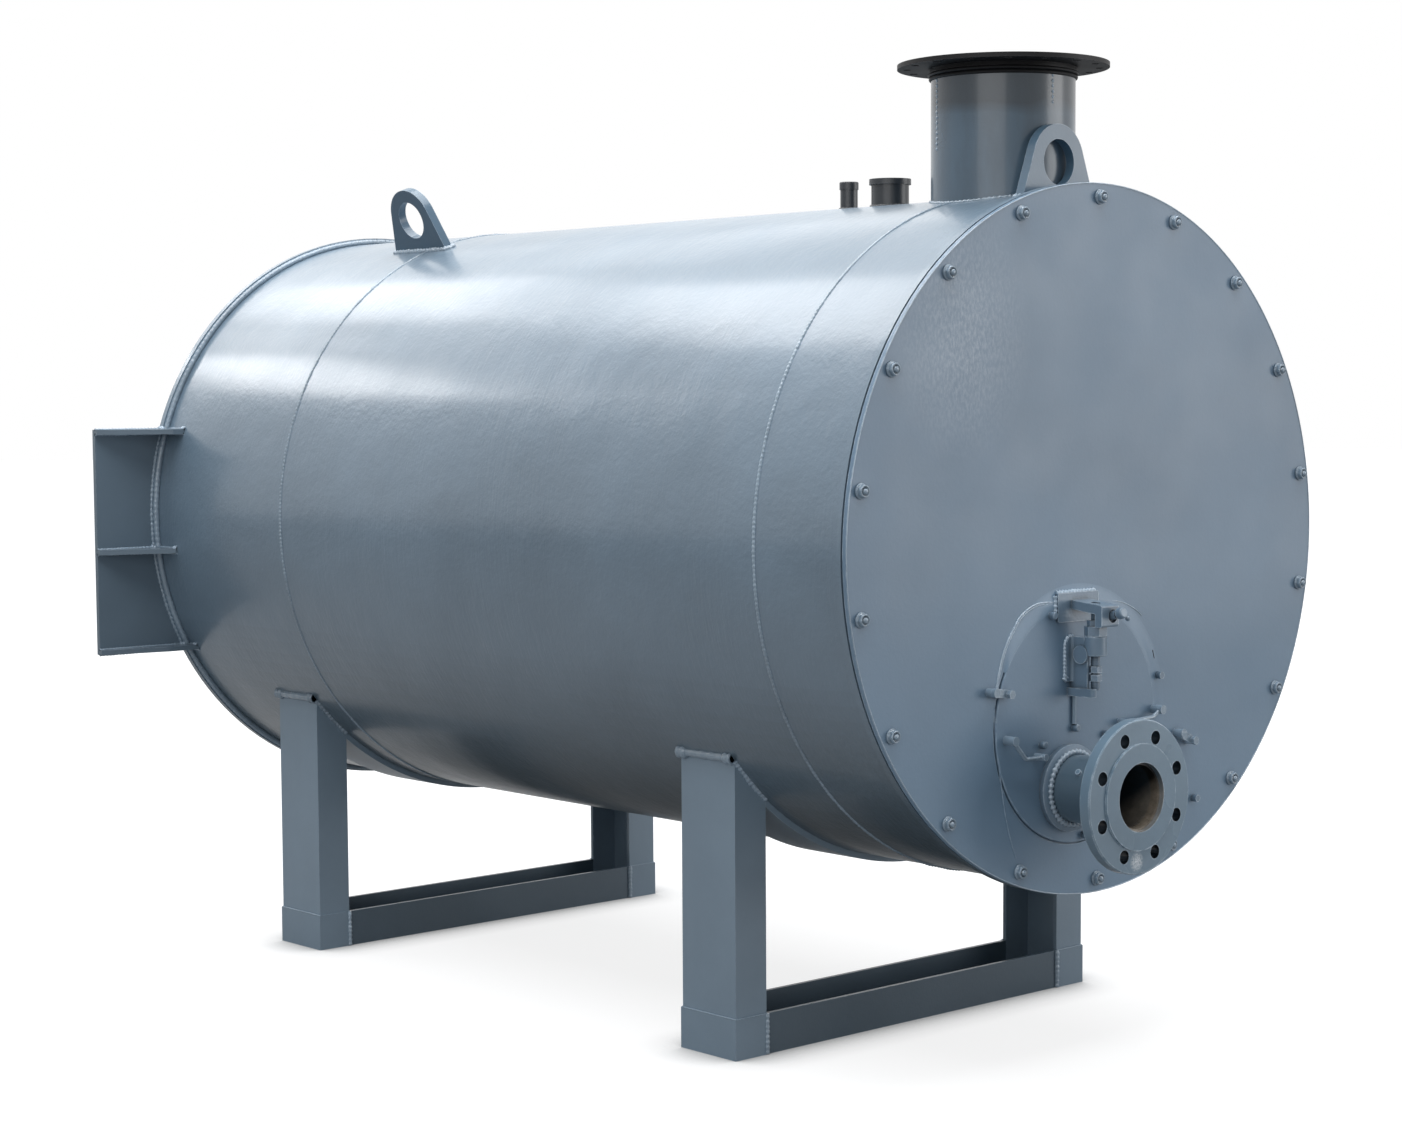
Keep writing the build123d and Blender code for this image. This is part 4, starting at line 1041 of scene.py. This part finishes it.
# Camera and studio
def place_camera():
    """Camera at the photograph's viewpoint."""
    level = math.cos(CAMERA_PITCH)
    ahead = Vector((math.sin(CAMERA_YAW) * level, math.cos(CAMERA_YAW) * level, -math.sin(CAMERA_PITCH)))
    side = Vector((math.cos(CAMERA_YAW), -math.sin(CAMERA_YAW), 0))
    above = side.cross(ahead)
    right = math.cos(CAMERA_ROLL) * side + math.sin(CAMERA_ROLL) * above
    up = math.cos(CAMERA_ROLL) * above - math.sin(CAMERA_ROLL) * side
    camera = bpy.data.objects.new("camera", bpy.data.cameras.new("camera"))
    bpy.context.scene.collection.objects.link(camera)
    turn = Matrix((right, up, -ahead)).transposed().to_4x4()
    camera.matrix_world = Matrix.Translation(CAMERA_AT) @ turn
    camera.data.sensor_width = SENSOR
    camera.data.lens = FOCAL_PIXELS / IMAGE_WIDTH * SENSOR
    camera.data.shift_x = (IMAGE_WIDTH / 2 - AIM_X) / IMAGE_WIDTH
    camera.data.shift_y = (AIM_Y - IMAGE_HEIGHT / 2) / IMAGE_WIDTH
    bpy.context.scene.camera = camera


def area_light(name, at, turn, width, height, power):
    """Rectangular lamp."""
    light = bpy.data.lights.new(name, "AREA")
    light.shape = "RECTANGLE"
    light.size = width
    light.size_y = height
    light.energy = power
    lamp = bpy.data.objects.new(name, light)
    lamp.location = at
    lamp.rotation_euler = turn
    bpy.context.scene.collection.objects.link(lamp)


def side_bank(name, at, width, height, power):
    """Lamp that faces the middle of the boiler."""
    area_light(name, at, (LIT_AT - Vector(at)).to_track_quat("-Z", "Y").to_euler(), width, height, power)


def ceiling_panel(name, x, y, glow, height=PANEL_HEIGHT):
    """Panel facing the floor over a span of x and y; glow is how bright its face is beside white."""
    width = x[1] - x[0]
    length = y[1] - y[0]
    power = glow * math.pi * width * length
    area_light(name, (sum(x) / 2, sum(y) / 2, height), (0, 0, 0), width, length, power)


def lamps():
    """Two soft banks from the sides, and panels overhead that the gloss of the shell mirrors."""
    side_bank("left_bank", at=(-5.5, -2.5, 2.6), width=5.0, height=3.0, power=85)
    side_bank("front_bank", at=(4.5, -5.0, 1.5), width=4.0, height=3.0, power=119)
    ceiling_panel("overhead", x=(-3.0, 3.0), y=(-1.95, 2.55), glow=4.6, height=4.6)
    ceiling_panel("front_panel", x=(-0.5, 1.0), y=(4.6, 6.3), glow=4.2)
    ceiling_panel("shoulder_panel", x=(-1.6, 0.25), y=(2.58, 3.9), glow=4.8)
    ceiling_panel("side_panel", x=(-3.2, -1.5), y=(6.0, 7.5), glow=9.0)
    ceiling_panel("rear_panel", x=(-1.4, -0.55), y=(5.6, 6.6), glow=3.4)
    ceiling_panel("near_crown_panel", x=(1.2, 4.5), y=(3.9, 5.3), glow=1.0)
    ceiling_panel("far_crown_panel", x=(1.0, 3.4), y=(5.9, 7.3), glow=0.6)
    ceiling_panel("thin_panel", x=(-3.25, -3.0), y=(4.5, 7.2), glow=1.8)


def seen_share(tree, direct, mirrored):
    """Share of the bright surroundings shown: to the camera and through glass, and in gloss."""
    paths = add_node(tree, "ShaderNodeLightPath").outputs
    seen = math_node(tree, "MAXIMUM", paths["Is Camera Ray"], paths["Is Transmission Ray"])
    gloss = times(tree, paths["Is Glossy Ray"], mirrored)
    return math_node(tree, "MAXIMUM", times(tree, seen, direct), gloss)


def surroundings():
    """World that fills the shadows a little and is white where it is seen."""
    world = bpy.data.worlds.new("studio")
    bpy.context.scene.world = world
    world.use_nodes = True
    tree = world.node_tree
    fill = tree.nodes["Background"]
    feed(tree, fill.inputs["Color"], SKY_FILL)
    feed(tree, fill.inputs["Strength"], 0.2)
    white = add_node(tree, "ShaderNodeBackground", {"Color": WHITE, "Strength": 1.0})
    mix = add_node(tree, "ShaderNodeMixShader", {
        0: seen_share(tree, direct=1.0, mirrored=1.0), 1: fill.outputs[0], 2: white.outputs[0]})
    feed(tree, tree.nodes["World Output"].inputs["Surface"], mix.outputs[0])


def floor_glow(tree):
    """How far the floor is lifted to white where it is seen: less near the boiler, and least at its feet,
    where a contact shadow is painted.
    """
    away = reach_from(tree, object_place(tree), (0, 0, 0), axes=(1, 1, 1))
    far = spread(tree, away, FLOOR_NEAR, FLOOR_FAR, 0.8, 1.0)
    contact = add_node(tree, "ShaderNodeAmbientOcclusion", {"Distance": CONTACT_REACH}, samples=8)
    # Painted contact shadow: the glow drops where the floor is hemmed in by the feet and crossbars.
    painted_contact_shadow = spread(tree, contact.outputs["AO"], 0.4, 0.95, 0.1, 1.0)
    return times(tree, seen_share(tree, direct=1.0, mirrored=0.06), times(tree, far, painted_contact_shadow))


def pale_floor():
    """Floor that looks white and keeps the boiler's shadow."""
    bpy.ops.mesh.primitive_plane_add(size=FLOOR_SIZE, location=(0, 0, 0))
    floor = bpy.context.object
    floor.name = "floor"
    material = bpy.data.materials.new("studio_floor")
    material.use_nodes = True
    tree = material.node_tree
    shader = tree.nodes["Principled BSDF"]
    feed(tree, shader.inputs["Base Color"], FLOOR_GREY)
    feed(tree, shader.inputs["Roughness"], 0.9)
    glow = add_node(tree, "ShaderNodeEmission", {"Color": WHITE, "Strength": floor_glow(tree)})
    both = add_node(tree, "ShaderNodeAddShader", {0: shader.outputs[0], 1: glow.outputs[0]})
    feed(tree, tree.nodes["Material Output"].inputs["Surface"], both.outputs[0])
    floor.data.materials.append(material)


shell_finish()
cover_finish()
frame_finishes()
fitting_finishes()
stack_finish()
black_finishes()
inlet_finish()
paint_nodes()
bead_tree = weld_bead_tree()
seam_beads()
leg_beads()
shoe_beads()
lug_beads()
bracket_beads()
crown_beads()
inlet_beads()
hinge_beads()
cover_marks()
door_gap_paint()
cover_bolts()
hinge_thread()
stack_collar_rings()
place_camera()
bpy.context.scene.view_settings.view_transform = "Standard"
surroundings()
pale_floor()
lamps()
